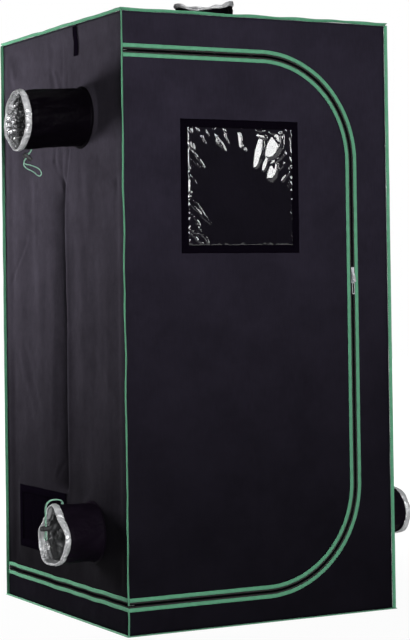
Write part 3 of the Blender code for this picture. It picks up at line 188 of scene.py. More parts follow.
# Duct sleeves: middle at the wall, direction, top, first side, length, how crumpled the lining is,
# its finish, how far the mouth hangs, and eight shares round the mouth and the rim
EVEN_RIM = (0.00, 0.02, 0.00, -0.02, 0.00, 0.02, 0.01, -0.01)
SLEEVES = {
    "upper_left": {
        "base": (-HALF_WIDTH, -0.14, 1.345), "out": LEFTWARD, "up": UP, "side": FORWARD,
        "length": 0.1875, "folded": 1.0, "lining": "crinkled_lining", "droop": 0.012,
        "mouth": (1.00, 0.98, 0.90, 0.87, 1.02, 0.90, 0.92, 1.00), "rim": EVEN_RIM,
    },
    "lower_left": {
        "base": (-HALF_WIDTH, -0.184, 0.243), "out": LEFTWARD, "up": UP, "side": FORWARD,
        "length": 0.118, "folded": 0.35, "lining": "smooth_lining", "droop": 0.006,
        "mouth": (1.09, 0.93, 1.12, 0.93, 0.90, 1.08, 1.08, 0.88), "rim": EVEN_RIM,
    },
    "lower_right": {
        "base": (HALF_WIDTH, -0.19, 0.245), "out": RIGHTWARD, "up": UP, "side": BACKWARD,
        "length": 0.158, "folded": 0.7, "lining": "crinkled_lining", "droop": 0.006,
        "mouth": (0.80, 0.84, 0.85, 0.84, 0.79, 0.83, 0.86, 0.84), "rim": EVEN_RIM,
    },
    "roof": {
        "base": (0.03, -0.05, HEIGHT), "out": UP, "up": BACKWARD, "side": RIGHTWARD,
        "length": 0.095, "folded": 0.7, "lining": "crinkled_lining", "droop": 0.008,
        "mouth": (0.98, 1.04, 1.02, 0.96, 1.00, 1.06, 1.12, 1.08),
        "rim": (0.00, 0.00, 0.08, 0.05, -0.16, -0.27, -0.05, 0.02),
    },
}
# How far the cloth of a wall reaches in under a sleeve, and stays flat round it
SLEEVE_LAP = 0.0016
SLEEVE_COLLAR = 0.007
SLEEVE_RADIUS = 0.0775
SLEEVE_FLANGE = 0.0060
CUFF_LENGTH = 0.0170
CUFF_LIP = 0.0045
SLEEVE_STEPS = 34
LINING_STEPS = 40
CUFF_STEPS = 8
LIP_STEPS = 3

# Folds pressed into the left wall: y and z of both ends, half width, depth (inwards is negative)
LEFT_FOLDS = (
    (0.060, 1.490, 0.036, 1.440, 0.0080, -0.0050),
    (0.079, 1.577, 0.060, 1.490, 0.0110, 0.0025),
    (-0.020, 1.582, -0.015, 1.443, 0.0050, -0.0035),
    (0.018, 1.486, -0.008, 1.440, 0.0060, -0.0050),
    (-0.050, 1.462, -0.056, 1.432, 0.0055, -0.0045),
    (0.036, 1.268, 0.042, 1.240, 0.0060, -0.0050),
    (0.042, 1.240, -0.014, 1.175, 0.0060, -0.0060),
    (-0.014, 1.175, -0.020, 1.130, 0.0060, -0.0060),
    (-0.058, 1.262, -0.028, 1.163, 0.0060, -0.0060),
    (-0.028, 1.163, -0.020, 1.120, 0.0060, -0.0040),
    (-0.011, 1.248, -0.010, 1.187, 0.0050, -0.0040),
    (0.012, 1.262, 0.004, 1.160, 0.0090, 0.0030),
    (-0.124, 1.230, -0.141, 1.141, 0.0140, -0.0030),
    (-0.170, 1.220, -0.185, 1.060, 0.0200, 0.0030),
    (0.249, 1.020, 0.359, 0.911, 0.0100, -0.0040),
    (0.228, 1.030, 0.330, 0.925, 0.0120, 0.0025),
    (-0.241, 1.222, -0.388, 1.145, 0.0140, -0.0030),
    (-0.351, 1.157, -0.389, 1.098, 0.0100, -0.0030),
    (0.385, 1.590, 0.326, 1.500, 0.0160, 0.0040),
    (0.326, 1.500, 0.221, 1.449, 0.0200, 0.0030),
    (0.052, 0.375, 0.020, 0.411, 0.0060, -0.0025),
    (0.075, 0.360, 0.050, 0.405, 0.0060, 0.0020),
    (-0.176, 0.772, -0.335, 0.606, 0.0200, 0.0025),
    (0.273, 0.724, 0.175, 0.560, 0.0160, -0.0030),
    (0.300, 0.700, 0.205, 0.545, 0.0160, 0.0025),
    (0.110, 0.980, 0.135, 0.640, 0.0200, -0.0025),
    (0.060, 0.900, 0.075, 0.480, 0.0160, 0.0025),
    (0.190, 1.180, 0.160, 0.860, 0.0200, 0.0030),
    (-0.080, 0.960, -0.070, 0.480, 0.0220, -0.0022),
    (-0.140, 1.000, -0.125, 0.560, 0.0180, 0.0022),
    (-0.220, 0.920, -0.205, 0.480, 0.0200, -0.0020),
    (-0.280, 1.060, -0.290, 0.640, 0.0180, 0.0022),
)
# The storage crease: its place, how far it slopes behind, and its rounding in front
LEFT_CREASE_Y = -0.017
CREASE_BEHIND = 0.112
CREASE_ROUND = 0.0045

# Lines pressed into the cloth by its packing: the height or place of each, and its depth
LEFT_PACK_LINES = (
    (1.050, 0.0011), (0.525, 0.0011), (1.310, 0.0008), (0.790, 0.0007), (0.262, 0.0007),
)
FRONT_PACK_LINES = (
    (1.185, 0.0008), (0.955, 0.0006), (0.725, 0.0009), (0.490, 0.0007), (0.262, 0.0007),
)
FRONT_PACK_COLUMNS = ((-0.210, 0.0006), (-0.020, 0.0008), (0.165, 0.0006))

# Tilted facets of the window's crumpled film: x and z of both ends, and the half width
FILM_FACETS = (
    (-0.0642, 1.2935, -0.0558, 1.2504, 0.0040), (-0.0449, 1.2553, -0.0433, 1.2416, 0.0025),
    (-0.0111, 1.2978, 0.0165, 1.2984, 0.0037), (0.0032, 1.2928, 0.0008, 1.2781, 0.0112),
    (0.0040, 1.2835, -0.0157, 1.1995, 0.0093), (0.0673, 1.3011, 0.0272, 1.2979, 0.0050),
    (0.0564, 1.2955, 0.0230, 1.2281, 0.0161), (0.0687, 1.2918, 0.0339, 1.2389, 0.0081),
    (0.0230, 1.2320, 0.0080, 1.1924, 0.0053), (0.0473, 1.2165, 0.0256, 1.1682, 0.0112),
    (0.0781, 1.2462, 0.0319, 1.2136, 0.0056), (0.0727, 1.2210, 0.0544, 1.1950, 0.0034),
    (0.0884, 1.1972, 0.0650, 1.1653, 0.0043), (0.0949, 1.2107, 0.0884, 1.1945, 0.0028),
    (0.0904, 1.1677, 0.0840, 1.1527, 0.0025), (0.1014, 1.3025, 0.0876, 1.2968, 0.0022),
)
FILM_LINES = (
    (-0.2070, 1.3050, -0.1966, 1.2912, 0.0037), (-0.1870, 1.3040, -0.1800, 1.2927, 0.0028),
    (-0.2086, 1.2719, -0.2008, 1.2473, 0.0046), (-0.2005, 1.2629, -0.1926, 1.2464, 0.0034),
    (-0.2002, 1.2468, -0.1597, 1.1942, 0.0025), (-0.1314, 1.2908, -0.0987, 1.2415, 0.0028),
    (-0.1263, 1.2751, -0.1111, 1.2534, 0.0037), (-0.1701, 1.2846, -0.1673, 1.2752, 0.0031),
    (-0.1067, 1.3030, -0.1021, 1.2957, 0.0025), (-0.2100, 1.1419, -0.2020, 1.1315, 0.0028),
    (-0.2114, 1.1283, -0.2074, 1.1195, 0.0037), (-0.2106, 1.1049, -0.1640, 1.0697, 0.0025),
    (-0.2046, 1.0768, -0.1744, 1.0436, 0.0022), (-0.2104, 1.0399, -0.1930, 1.0279, 0.0022),
    (-0.2129, 1.0315, -0.1698, 0.9992, 0.0028), (-0.1812, 1.0295, -0.1607, 1.0133, 0.0025),
    (-0.1655, 1.0112, -0.1526, 1.0007, 0.0025), (-0.2109, 1.2028, -0.2063, 1.1940, 0.0028),
    (-0.2067, 1.1286, -0.1494, 1.0528, 0.0017), (-0.2044, 1.1073, -0.1748, 1.0754, 0.0016),
    (-0.1921, 1.0868, -0.1409, 1.0452, 0.0016), (-0.2009, 1.0677, -0.1715, 1.0222, 0.0017),
    (-0.2054, 1.0451, -0.1802, 1.0146, 0.0016), (-0.1969, 1.0412, -0.1502, 1.0023, 0.0017),
    (-0.2070, 1.2234, -0.1662, 1.1936, 0.0016), (-0.1716, 1.2814, -0.1548, 1.2587, 0.0018),
    (-0.1284, 1.2900, -0.1074, 1.2445, 0.0016), (-0.1065, 1.2982, -0.0894, 1.2602, 0.0017),
    (-0.2076, 1.1846, -0.1828, 1.1511, 0.0016), (-0.1598, 1.2992, -0.1468, 1.2786, 0.0016),
)
FACET_SLOPE = 0.132


def size_property(name, description, value, least):
    """A length that a maker of the tent would choose."""
    return FloatProperty(name=name, description=description, default=value, min=least,
                         unit="LENGTH")


class TentSizes(bpy.types.PropertyGroup):
    """Sizes that a maker of the tent would choose."""

    weave: size_property("Weave", "Distance between yarns of the coated cloth", 0.0009, 0.0002)
    zip_radius: size_property("Zip corner radius", "Radius of the door's corners", 0.275, 0.05)
    tooth: size_property("Zip tooth", "Length of one tooth of the zip's coil", 0.0021, 0.001)
    binding: size_property("Binding width", "Width of the tape sewn beside the zip", 0.010, 0.004)
    rib: size_property("Binding rib", "Distance between ribs of the binding tape", 0.0014, 0.0005)
    stitch: size_property("Stitch", "Length of one stitch of the seams", 0.0034, 0.001)
    net: size_property("Vent net", "Distance between threads of the insect net", 0.0026, 0.001)
    crease: size_property("Storage crease", "Depth of the fold down the left wall", 0.0215, 0.0)
    ripple: size_property("Ripples", "Height of the small ripples in the walls", 0.0010, 0.0)


def colour_property(name, description, value):
    """A colour that a maker of the tent would choose."""
    return FloatVectorProperty(name=name, description=description, default=value, subtype="COLOR",
                               min=0.0, max=1.0)


class TentColours(bpy.types.PropertyGroup):
    """Colours of the tent's cloths, tapes and frame."""

    cloth: colour_property("Wall cloth", "Coated cloth of the walls", (0.0196, 0.0166, 0.0268))
    # Painted light: the left wall's colour is the wall cloth made lighter for its lit side.
    lit: colour_property("Left wall cloth", "Wall cloth lightened by painted light", (0.0570, 0.0505, 0.0665))
    sleeve: colour_property("Sleeve cloth", "Cloth of the duct sleeves", (0.0020, 0.0013, 0.0025))
    foil: colour_property("Silver film", "Film of the inside and the cuffs", (0.800, 0.805, 0.825))
    binding: colour_property("Binding", "Green tape on every seam", (0.118, 0.362, 0.214))
    cord: colour_property("Drawcord", "Braided cord of the sleeves", (0.340, 0.660, 0.490))
    webbing: colour_property("Webbing", "Borders and strap", (0.0030, 0.0020, 0.0044))
    zip_tape: colour_property("Zip tape", "Tape and coil of the zips", (0.0022, 0.0020, 0.0028))
    film: colour_property("Window film", "Clear film of the window", (0.0045, 0.0036, 0.0062))
    tube: colour_property("Frame tube", "Powder coat of the frame", (0.780, 0.780, 0.760))
    moulding: colour_property("Mouldings", "Connectors and cord locks", (0.0200, 0.0200, 0.0220))
    metal: colour_property("Zip metal", "Plating of sliders and pulls", (0.640, 0.635, 0.670))


# Shader maths


class Value:
    """A number or vector that a shader works out. Arithmetic on it adds Math nodes."""

    def __init__(self, nodes, socket):
        self.nodes = nodes
        self.socket = socket

    def maths(self, operation, *values):
        return self.nodes.node("ShaderNodeMath", {"operation": operation}, dict(enumerate(values)))

    def __add__(self, other):
        return self.maths("ADD", self, other)

    __radd__ = __add__

    def __sub__(self, other):
        return self.maths("SUBTRACT", self, other)

    def __rsub__(self, other):
        return self.maths("SUBTRACT", other, self)

    def __mul__(self, other):
        return self.maths("MULTIPLY", self, other)

    __rmul__ = __mul__

    def wave(self, length):
        """A sine of this value with a given wave length."""
        return self.maths("SINE", self * (math.tau / length))

    def size(self):
        return self.maths("ABSOLUTE", self)

    def least(self, other):
        return self.maths("MINIMUM", self, other)

    def most(self, other):
        return self.maths("MAXIMUM", self, other)

    def step(self, low, high):
        """Zero up to low, one from high, with a smooth rise between."""
        sockets = {"Value": self, "From Min": low, "From Max": high}
        return self.nodes.node("ShaderNodeMapRange", {"interpolation_type": "SMOOTHSTEP"}, sockets)


class Nodes:
    """The node tree of a material or a world, emptied first."""

    def __init__(self, owner):
        owner.use_nodes = True
        self.tree = owner.node_tree
        self.tree.nodes.clear()

    def node(self, kind, settings=None, sockets=None, output=0):
        """Adds a node with its settings first, then its sockets' values or links."""
        made = self.tree.nodes.new(kind)
        for name, value in (settings or {}).items():
            setattr(made, name, value)
        for key, value in (sockets or {}).items():
            if isinstance(value, Value):
                self.tree.links.new(value.socket, made.inputs[key])
            else:
                made.inputs[key].default_value = value
        return Value(self, made.outputs[output]) if made.outputs else None

    def part(self, place, index):
        """The first, second or third part of a place."""
        return self.node("ShaderNodeSeparateXYZ", {}, {0: place}, index)


class Finish(Nodes):
    """A procedural material and the nodes that it is made of."""

    def __init__(self, name):
        self.material = bpy.data.materials.new(name)
        super().__init__(self.material)

    def cloth(self):
        """The cloth's own coordinates, in metres along and across it."""
        return self.node("ShaderNodeUVMap", {"uv_map": "cloth"})

    def solid(self):
        """Coordinates in the piece's own space, in metres."""
        return self.node("ShaderNodeTexCoord", {}, {}, "Object")

    def cloud(self, place, scale, detail=3.0, roughness=0.55, stretch=(1, 1, 1)):
        """Smooth noise from 0 to 1."""
        if stretch != (1, 1, 1):
            place = self.node("ShaderNodeMapping", {}, {"Vector": place, "Scale": stretch})
        sockets = {"Vector": place, "Scale": scale, "Detail": detail, "Roughness": roughness}
        return self.node("ShaderNodeTexNoise", {}, sockets)

    def ridges(self, place, scale, bend, stretch):
        """One along thin wandering lines, falling off evenly on both sides of them."""
        place = self.node("ShaderNodeMapping", {}, {"Vector": place, "Scale": stretch})
        moved = self.node("ShaderNodeVectorMath", {"operation": "ADD"}, {0: place, 1: bend * 0.09})
        sockets = {"Vector": moved, "Scale": scale, "Detail": 1.0, "Roughness": 0.5}
        waves = self.node("ShaderNodeTexNoise", {}, sockets)
        return 1 - ((waves - 0.5).size() * 9).least(1)

    def cells(self, place, scale):
        """Distance from the nearest point of a scattered set."""
        return self.node("ShaderNodeTexVoronoi", {}, {"Vector": place, "Scale": scale}, "Distance")

    def tint(self, share, low, high):
        """A colour between two by a share. The lower one may be worked out."""
        low = low if isinstance(low, Value) else (*low, 1)
        sockets = {0: share, 6: low, 7: (*high, 1)}
        return self.node("ShaderNodeMix", {"data_type": "RGBA"}, sockets, 2)

    def relief(self, height):
        """A normal from a height in metres."""
        return self.node("ShaderNodeBump", {}, {"Height": height, "Distance": 1.0, "Strength": 1.0})

    def close(self, sockets):
        """Ends the material with a Principled shader."""
        shader = self.node("ShaderNodeBsdfPrincipled", {}, sockets)
        self.node("ShaderNodeOutputMaterial", {}, {"Surface": shader})
        return self.material


def scaled(colour, share):
    """A colour made darker or lighter by a share."""
    return tuple(min(1.0, channel * share) for channel in colour)


def coated_cloth(name, colour, pitch, rough, shine, crumple, foot):
    """Woven cloth with a coating: weave, slubs, clouds, creases and a painted shade that darkens it
    towards the floor, down to foot times its colour; a foot above one paints light there instead.
    """
    finish = Finish(name)
    place = finish.cloth()
    weave = finish.part(place, 0).wave(pitch) * finish.part(place, 1).wave(pitch)
    clouds = finish.cloud(place, 6.0, 4.0, 0.6)
    slubs = finish.cloud(place, 240.0, 2.0, 0.5, (1, 0.12, 1))
    creases = finish.cloud(place, 42.0, 5.0, 0.62)
    share = clouds * 0.62 + slubs * 0.26 + creases * 0.22
    # Painted shade by height: the colour falls towards foot times itself at the floor in place of
    # the light's falloff, and a foot above one paints light on low pieces.
    painted_height_shading = finish.part(finish.solid(), 2).step(0.0, 1.45) * (1 - foot) + foot
    share = (share.step(0.30, 0.78) * 0.40 + 0.57) * painted_height_shading
    tone = finish.node("ShaderNodeVectorMath", {"operation": "SCALE"},
                       {0: scaled(colour, 1.30), "Scale": share})
    bent = finish.cloud(place, 14.0, 3.0, 0.6)
    large = finish.ridges(place, 9.0, bent, (1, 0.6, 1))
    small = finish.ridges(place, 30.0, bent, (1, 0.7, 1)) * clouds.step(0.45, 0.65)
    height = weave * 0.00003 + slubs * 0.00012 + creases * 0.0008
    height = height - (large * 0.0022 + small * 0.0009) * crumple
    return finish.close({
        "Base Color": tone, "Roughness": rough + slubs * 0.16 - clouds * 0.08,
        "Normal": finish.relief(height), "Specular IOR Level": shine,
    })


def silver_film(name, colour, crumple, rough, metal):
    """Silver film laminated on cloth, embossed with small cells and crumpled, with painted shade in
    the hollows of its crumples.
    """
    finish = Finish(name)
    place = finish.cloth()
    emboss = finish.cells(place, 420.0)
    facets = finish.cells(place, 64.0)
    bent = finish.cloud(place, 30.0, 2.0, 0.5)
    streaks = finish.ridges(place, 36.0, bent, (1.0, 0.45, 1))
    clouds = finish.cloud(place, 26.0, 5.0, 0.65)
    wear = finish.cloud(place, 9.0, 3.0, 0.6)
    # Painted shade: the colour follows the crumples' height, lighter on their ridges and darker in
    # their hollows, and its dark end deepens the more crumpled the film is.
    share = facets * 0.3 + clouds * 0.5 + streaks * (0.35 * crumple)
    hollow_shade_colour = scaled(colour, 0.96 - 0.36 * crumple)
    tone = finish.tint(share.step(0.25, 0.85), hollow_shade_colour, scaled(colour, 1.06))
    height = emboss * 0.00007 + facets * (0.0022 * crumple) + clouds * (0.0040 * crumple)
    height = height + streaks * (0.0042 * crumple)
    return finish.close({
        "Base Color": tone, "Metallic": metal - 0.10 + wear * 0.20,
        "Roughness": rough + wear * 0.22, "Normal": finish.relief(height),
    })


def ribbed_tape(name, colour, sizes, rows, shine):
    """Woven tape with cross ribs and rows of stitches sunk into it."""
    finish = Finish(name)
    place = finish.cloth()
    along = finish.part(place, 0)
    across = finish.part(place, 1)
    ribs = along.wave(sizes.rib)
    clouds = finish.cloud(place, 55.0, 4.0, 0.6)
    fuzz = finish.cloud(place, 900.0, 2.0, 0.5)
    thread = None
    for row in rows:
        line = 1 - (across - row).size().step(0.0002, 0.0006)
        dashes = line * along.wave(sizes.stitch).step(-0.35, 0.05)
        thread = dashes if thread is None else thread.most(dashes)
    share = clouds * 0.6 + fuzz * 0.25 + ribs * 0.10
    tone = finish.tint(share.step(0.15, 0.75), scaled(colour, 0.78), scaled(colour, 1.16))
    height = ribs * 0.00006 + fuzz * 0.00010 + clouds * 0.0006
    if thread is not None:
        tone = finish.tint(thread * 0.55, tone, scaled(colour, 0.42))
        height = height - thread * 0.00035
    return finish.close({
        "Base Color": tone, "Roughness": 0.60 + fuzz * 0.20, "Normal": finish.relief(height),
        "Sheen Weight": shine, "Sheen Roughness": 0.4, "Specular IOR Level": shine,
    })


def braided_cord(name, colour):
    """Round braid: two sets of strands that cross."""
    finish = Finish(name)
    place = finish.solid()
    strands = finish.cells(place, 1.4 / CORD_RADIUS)
    clouds = finish.cloud(place, 90.0)
    tone = finish.tint(strands.step(0.1, 0.75), scaled(colour, 1.12), scaled(colour, 0.60))
    height = clouds * 0.0003 - strands * 0.0005
    return finish.close({"Base Color": tone, "Roughness": 0.62, "Normal": finish.relief(height),
                         "Sheen Weight": 0.2})


def clear_film(name, colour):
    """Clear film, lightly scratched, over the dark inside of the tent."""
    finish = Finish(name)
    place = finish.cloth()
    haze = finish.cloud(place, 22.0, 5.0, 0.6)
    scratches = finish.cloud(place, 120.0, 3.0, 0.7, (1, 0.18, 1))
    height = haze * 0.0002 + scratches * 0.00003
    return finish.close({
        "Base Color": (*colour, 1), "Roughness": 0.035 + haze * 0.05,
        "Normal": finish.relief(height), "Alpha": 0.30, "Coat Weight": 1.0,
        "Coat Roughness": 0.02, "Coat IOR": 2.3, "Specular IOR Level": 0.9,
    })


def coil_finish(name, colour):
    """Nylon coil of a zip, slightly glossy."""
    finish = Finish(name)
    fuzz = finish.cloud(finish.cloth(), 700.0, 2.0)
    tone = finish.tint(fuzz, scaled(colour, 0.8), scaled(colour, 1.6))
    return finish.close({"Base Color": tone, "Roughness": 0.38 + fuzz * 0.15,
                         "Normal": finish.relief(fuzz * 0.00008), "Specular IOR Level": 0.0})


def powder_coat(name, colour):
    """White powder coat with a faint orange peel and handling marks."""
    finish = Finish(name)
    place = finish.solid()
    peel = finish.cloud(place, 620.0, 2.0)
    marks = finish.cloud(place, 30.0, 4.0, 0.65)
    tone = finish.tint(marks.step(0.35, 0.7), scaled(colour, 1.0), scaled(colour, 0.86))
    return finish.close({"Base Color": tone, "Roughness": 0.30 + marks * 0.12,
                         "Normal": finish.relief(peel * 0.00005), "Coat Weight": 0.2})


def moulded_plastic(name, colour):
    """Fine-grained moulded plastic."""
    finish = Finish(name)
    place = finish.solid()
    grain = finish.cloud(place, 1400.0, 2.0)
    scuffs = finish.cloud(place, 80.0, 4.0, 0.6)
    tone = finish.tint(scuffs, scaled(colour, 0.8), scaled(colour, 1.5))
    return finish.close({"Base Color": tone, "Roughness": 0.42 + grain * 0.18,
                         "Normal": finish.relief(grain * 0.00006)})


def plated_metal(name, colour):
    """Plated die-cast zip metal with fine polishing lines."""
    finish = Finish(name)
    place = finish.solid()
    lines = finish.cloud(place, 900.0, 3.0, 0.6, (1, 1, 0.1))
    marks = finish.cloud(place, 160.0, 3.0)
    tone = finish.tint(marks, scaled(colour, 0.8), scaled(colour, 1.15))
    return finish.close({"Base Color": tone, "Metallic": 1.0, "Roughness": 0.22 + lines * 0.2,
                         "Normal": finish.relief(lines * 0.00003)})


def make_finishes(colours, sizes):
    """Makes every material of the tent."""
    beside = sizes.binding * 0.32
    weave = sizes.weave
    # Columns: name, colour, roughness, shine, crumple and foot, the share of the colour left at the
    # floor by painted shade; the sleeves' foot above one paints light on the lower sleeves.
    cloths = (
        ("wall_cloth", colours.cloth, 0.66, 0.02, 0.06, 0.27),
        # Left wall: the same cloth with a lighter colour, painted light, and a low foot, painted
        # shade towards the floor.
        ("painted_lit_cloth", colours.lit, 0.60, 0.02, 0.12, 0.10),
        ("sleeve_cloth", colours.sleeve, 0.36, 0.012, 1.0, 3.5),
    )
    for name, colour, rough, shine, crumple, foot in cloths:
        coated_cloth(name, colour, weave, rough, shine, crumple, foot)
    films = (
        ("silver_film", 1.0, 0.10, 0.34, 0.70),
        ("satin_silver", 1.0, 0.45, 0.24, 0.35),
        ("crinkled_lining", 0.85, 1.0, 0.12, 0.85),
        ("smooth_lining", 0.50, 0.12, 0.26, 0.80),
    )
    for name, share, crumple, rough, metal in films:
        silver_film(name, scaled(colours.foil, share), crumple, rough, metal)
    tapes = (
        ("edge_tape", colours.binding, (0.0020,), 0.12),
        ("flat_tape", colours.binding, (-beside, beside), 0.12),
        ("border_webbing", colours.webbing, (-0.0085, 0.0085), 0.0),
        ("strap_webbing", scaled(colours.webbing, 1.8), (), 0.0),
        ("zip_tape", colours.zip_tape, (), 0.0),
    )
    for name, colour, rows, shine in tapes:
        ribbed_tape(name, colour, sizes, rows, shine)
    coil_finish("zip_coil", colours.zip_tape)
    coil_finish("net_thread", colours.webbing)
    braided_cord("braided_cord", colours.cord)
    clear_film("clear_film", colours.film)
    powder_coat("powder_coat", colours.tube)
    moulded_plastic("moulded_plastic", colours.moulding)
    plated_metal("plated_metal", colours.metal)


def finish(name):
    """A finished material by its name."""
    return bpy.data.materials[name]


# Shapes


def ripple(u, v, wide, tall, seed):
    """Smooth noise from -1 to 1 whose ripples have a width and a height."""
    return noise.noise(Vector((u / wide, v / tall, seed)))


def smooth(value):
    """Zero below 0, one above 1, with an easy curve between."""
    value = max(0.0, min(1.0, value))
    return value * value * (3 - 2 * value)


# A place on each side of the tent: two coordinates along it, and how far out of it


def front_place(u, v, out):
    return Vector((u, -HALF_DEPTH - out, v))


def back_place(u, v, out):
    return Vector((u, HALF_DEPTH + out, v))


def left_place(u, v, out):
    return Vector((-HALF_WIDTH - out, u, v))


def right_place(u, v, out):
    return Vector((HALF_WIDTH + out, u, v))


def roof_place(u, v, out):
    return Vector((u, v, HEIGHT + out))


def floor_place(u, v, out):
    return Vector((u, v, -out))


def rectangle(low_u, high_u, low_v, high_v):
    return [(low_u, low_v), (high_u, low_v), (high_u, high_v), (low_u, high_v)]


def sleeve_hole(centre_u, centre_v):
    """The round hole in a wall, a little smaller than the sleeve that is sewn over it."""
    radius = SLEEVE_RADIUS - SLEEVE_LAP
    angles = [math.tau * step / 64 for step in range(64)]
    return [(centre_u + radius * math.cos(a), centre_v + radius * math.sin(a)) for a in angles]


def respaced(loop, step):
    """The same closed outline with a point at least every step."""
    points = []
    for (u, v), (next_u, next_v) in zip(loop, loop[1:] + loop[:1]):
        count = max(1, math.ceil(math.hypot(next_u - u, next_v - v) / step))
        for index in range(count):
            share = index / count
            points.append((u + (next_u - u) * share, v + (next_v - v) * share))
    return points


def inside(points, loop):
    """Which of an array of points lie inside a closed outline."""
    found = np.zeros(len(points), bool)
    for (u, v), (next_u, next_v) in zip(loop, loop[1:] + loop[:1]):
        if v == next_v:
            continue
        crosses = (v > points[:, 1]) != (next_v > points[:, 1])
        at = u + (next_u - u) * (points[:, 1] - v) / (next_v - v)
        found ^= crosses & (points[:, 0] < at)
    return found


def cut_cloth(outline, holes, cell):
    """Points and triangles of a flat piece of cloth with openings, on a grid inside its outline."""
    loops = [respaced(loop, cell) for loop in [outline, *holes]]
    border = np.array([point for loop in loops for point in loop])
    low = border.min(axis=0)
    high = border.max(axis=0)
    counts = [math.ceil(span / cell) for span in high - low]
    columns, rows = [np.linspace(a, b, n + 1)[1:-1] for a, b, n in zip(low, high, counts)]
    grid = np.stack(np.meshgrid(columns, rows), -1).reshape(-1, 2)
    keep = inside(grid, loops[0])
    for loop in loops[1:]:
        keep &= ~inside(grid, loop)
    grid = grid[keep]
    nearest = np.full(len(grid), np.inf)
    for point in border:
        nearest = np.minimum(nearest, np.abs(grid - point).max(axis=1))
    grid = grid[nearest > cell * 0.55]
    edges = []
    start = 0
    for loop in loops:
        edges += [(start + i, start + (i + 1) % len(loop)) for i in range(len(loop))]
        start += len(loop)
    points = [Vector(point) for point in np.concatenate([border, grid])]
    corners, *others = delaunay_2d_cdt(points, edges, [], 0, 1e-7)
    faces = others[1]
    flat = np.array([tuple(corner) for corner in corners])
    middles = np.array([flat[list(face)].mean(axis=0) for face in faces])
    good = inside(middles, loops[0])
    for loop in loops[1:]:
        good &= ~inside(middles, loop)
    return flat, [tuple(face) for face, fits in zip(faces, good) if fits]


def new_piece(name, points, faces, flat, materials, smooth_shaded=True):
    """A mesh object with cloth coordinates in metres, one pair for each point."""
    mesh = bpy.data.meshes.new(name)
    mesh.from_pydata([tuple(point) for point in points], [], faces)
    layer = mesh.uv_layers.new(name="cloth")
    corners = np.zeros(len(mesh.loops), np.int32)
    mesh.loops.foreach_get("vertex_index", corners)
    layer.data.foreach_set("uv", np.array(flat, np.float32)[corners].ravel())
    for material in materials:
        mesh.materials.append(material)
    if smooth_shaded:
        mesh.shade_smooth()
    mesh.update()
    piece = bpy.data.objects.new(name, mesh)
    bpy.context.scene.collection.objects.link(piece)
    return piece


def thicken(piece, thickness, inner_material=0):
    """Gives a sheet its thickness, inwards, with another material inside if asked."""
    solid = piece.modifiers.new("thickness", "SOLIDIFY")
    solid.thickness = thickness
    solid.offset = -1
    solid.use_even_offset = True
    solid.material_offset = inner_material
    return piece


def wall_sheet(name, cut, place, shape, materials, thickness):
    """A piece of cloth on a wall: shape says how far out each of its points stands."""
    flat, faces = cut
    corner = place(0, 0, 0)
    along = place(1, 0, 0) - corner
    across = place(0, 1, 0) - corner
    facing = along.cross(across).dot(place(0, 0, 1) - corner)
    first = flat[list(faces[0])]
    turn = np.cross(first[1] - first[0], first[2] - first[0])
    if turn * facing < 0:
        faces = [face[::-1] for face in faces]
    points = [place(u, v, shape(u, v)) for u, v in flat]
    piece = new_piece(name, points, faces, flat, materials)
    return thicken(piece, thickness, len(materials) - 1)


def stroke(u, v, folds):
    """Height of a set of drawn folds at a point."""
    total = 0.0
    for start_u, start_v, end_u, end_v, width, depth in folds:
        run_u = end_u - start_u
        run_v = end_v - start_v
        length = run_u * run_u + run_v * run_v
        share = ((u - start_u) * run_u + (v - start_v) * run_v) / length
        share = max(0.0, min(1.0, share))
        gap_u = u - start_u - run_u * share
        gap_v = v - start_v - run_v * share
        far = (gap_u * gap_u + gap_v * gap_v) / (width * width)
        if far < 6:
            total += depth * math.exp(-far)
    return total


def facets(u, v, rows, sign):
    """Height of crumpled film: each facet rises evenly across its width, then falls off steeply."""
    highest = 0.0
    for start_u, start_v, end_u, end_v, half in rows:
        run_u = end_u - start_u
        run_v = end_v - start_v
        length = math.hypot(run_u, run_v)
        share = ((u - start_u) * run_u + (v - start_v) * run_v) / (length * length)
        if not 0 < share < 1:
            continue
        aside = sign * ((u - start_u) * run_v - (v - start_v) * run_u) / length
        local = half * math.sin(math.pi * share) ** 0.45
        if not -local < aside < local + half:
            continue
        rise = FACET_SLOPE * min(aside + local, 2 * local)
        highest = max(highest, rise * (1 - smooth((aside - local) / half)))
    return highest


def pack_line(value, lines):
    """Height of the pressed lines near a place across them."""
    return sum(depth * math.exp(-((value - at) / 0.004) ** 2) for at, depth in lines)


def box_gap(u, v, low_u, high_u, low_v, high_v):
    """Distance outside a rectangle, zero inside it."""
    return math.hypot(max(low_u - u, 0, u - high_u), max(low_v - v, 0, v - high_v))


def zip_gap(u, v, radius):
    """Distance from the door's zip line, negative inside the door."""
    mid_u = ZIP_X - radius
    middle = (ZIP_TOP + ZIP_BOTTOM) / 2
    half = (ZIP_TOP - ZIP_BOTTOM) / 2 - radius
    past_u = u - mid_u
    past_v = abs(v - middle) - half
    return math.hypot(max(past_u, 0), max(past_v, 0)) + min(max(past_u, past_v), 0) - radius


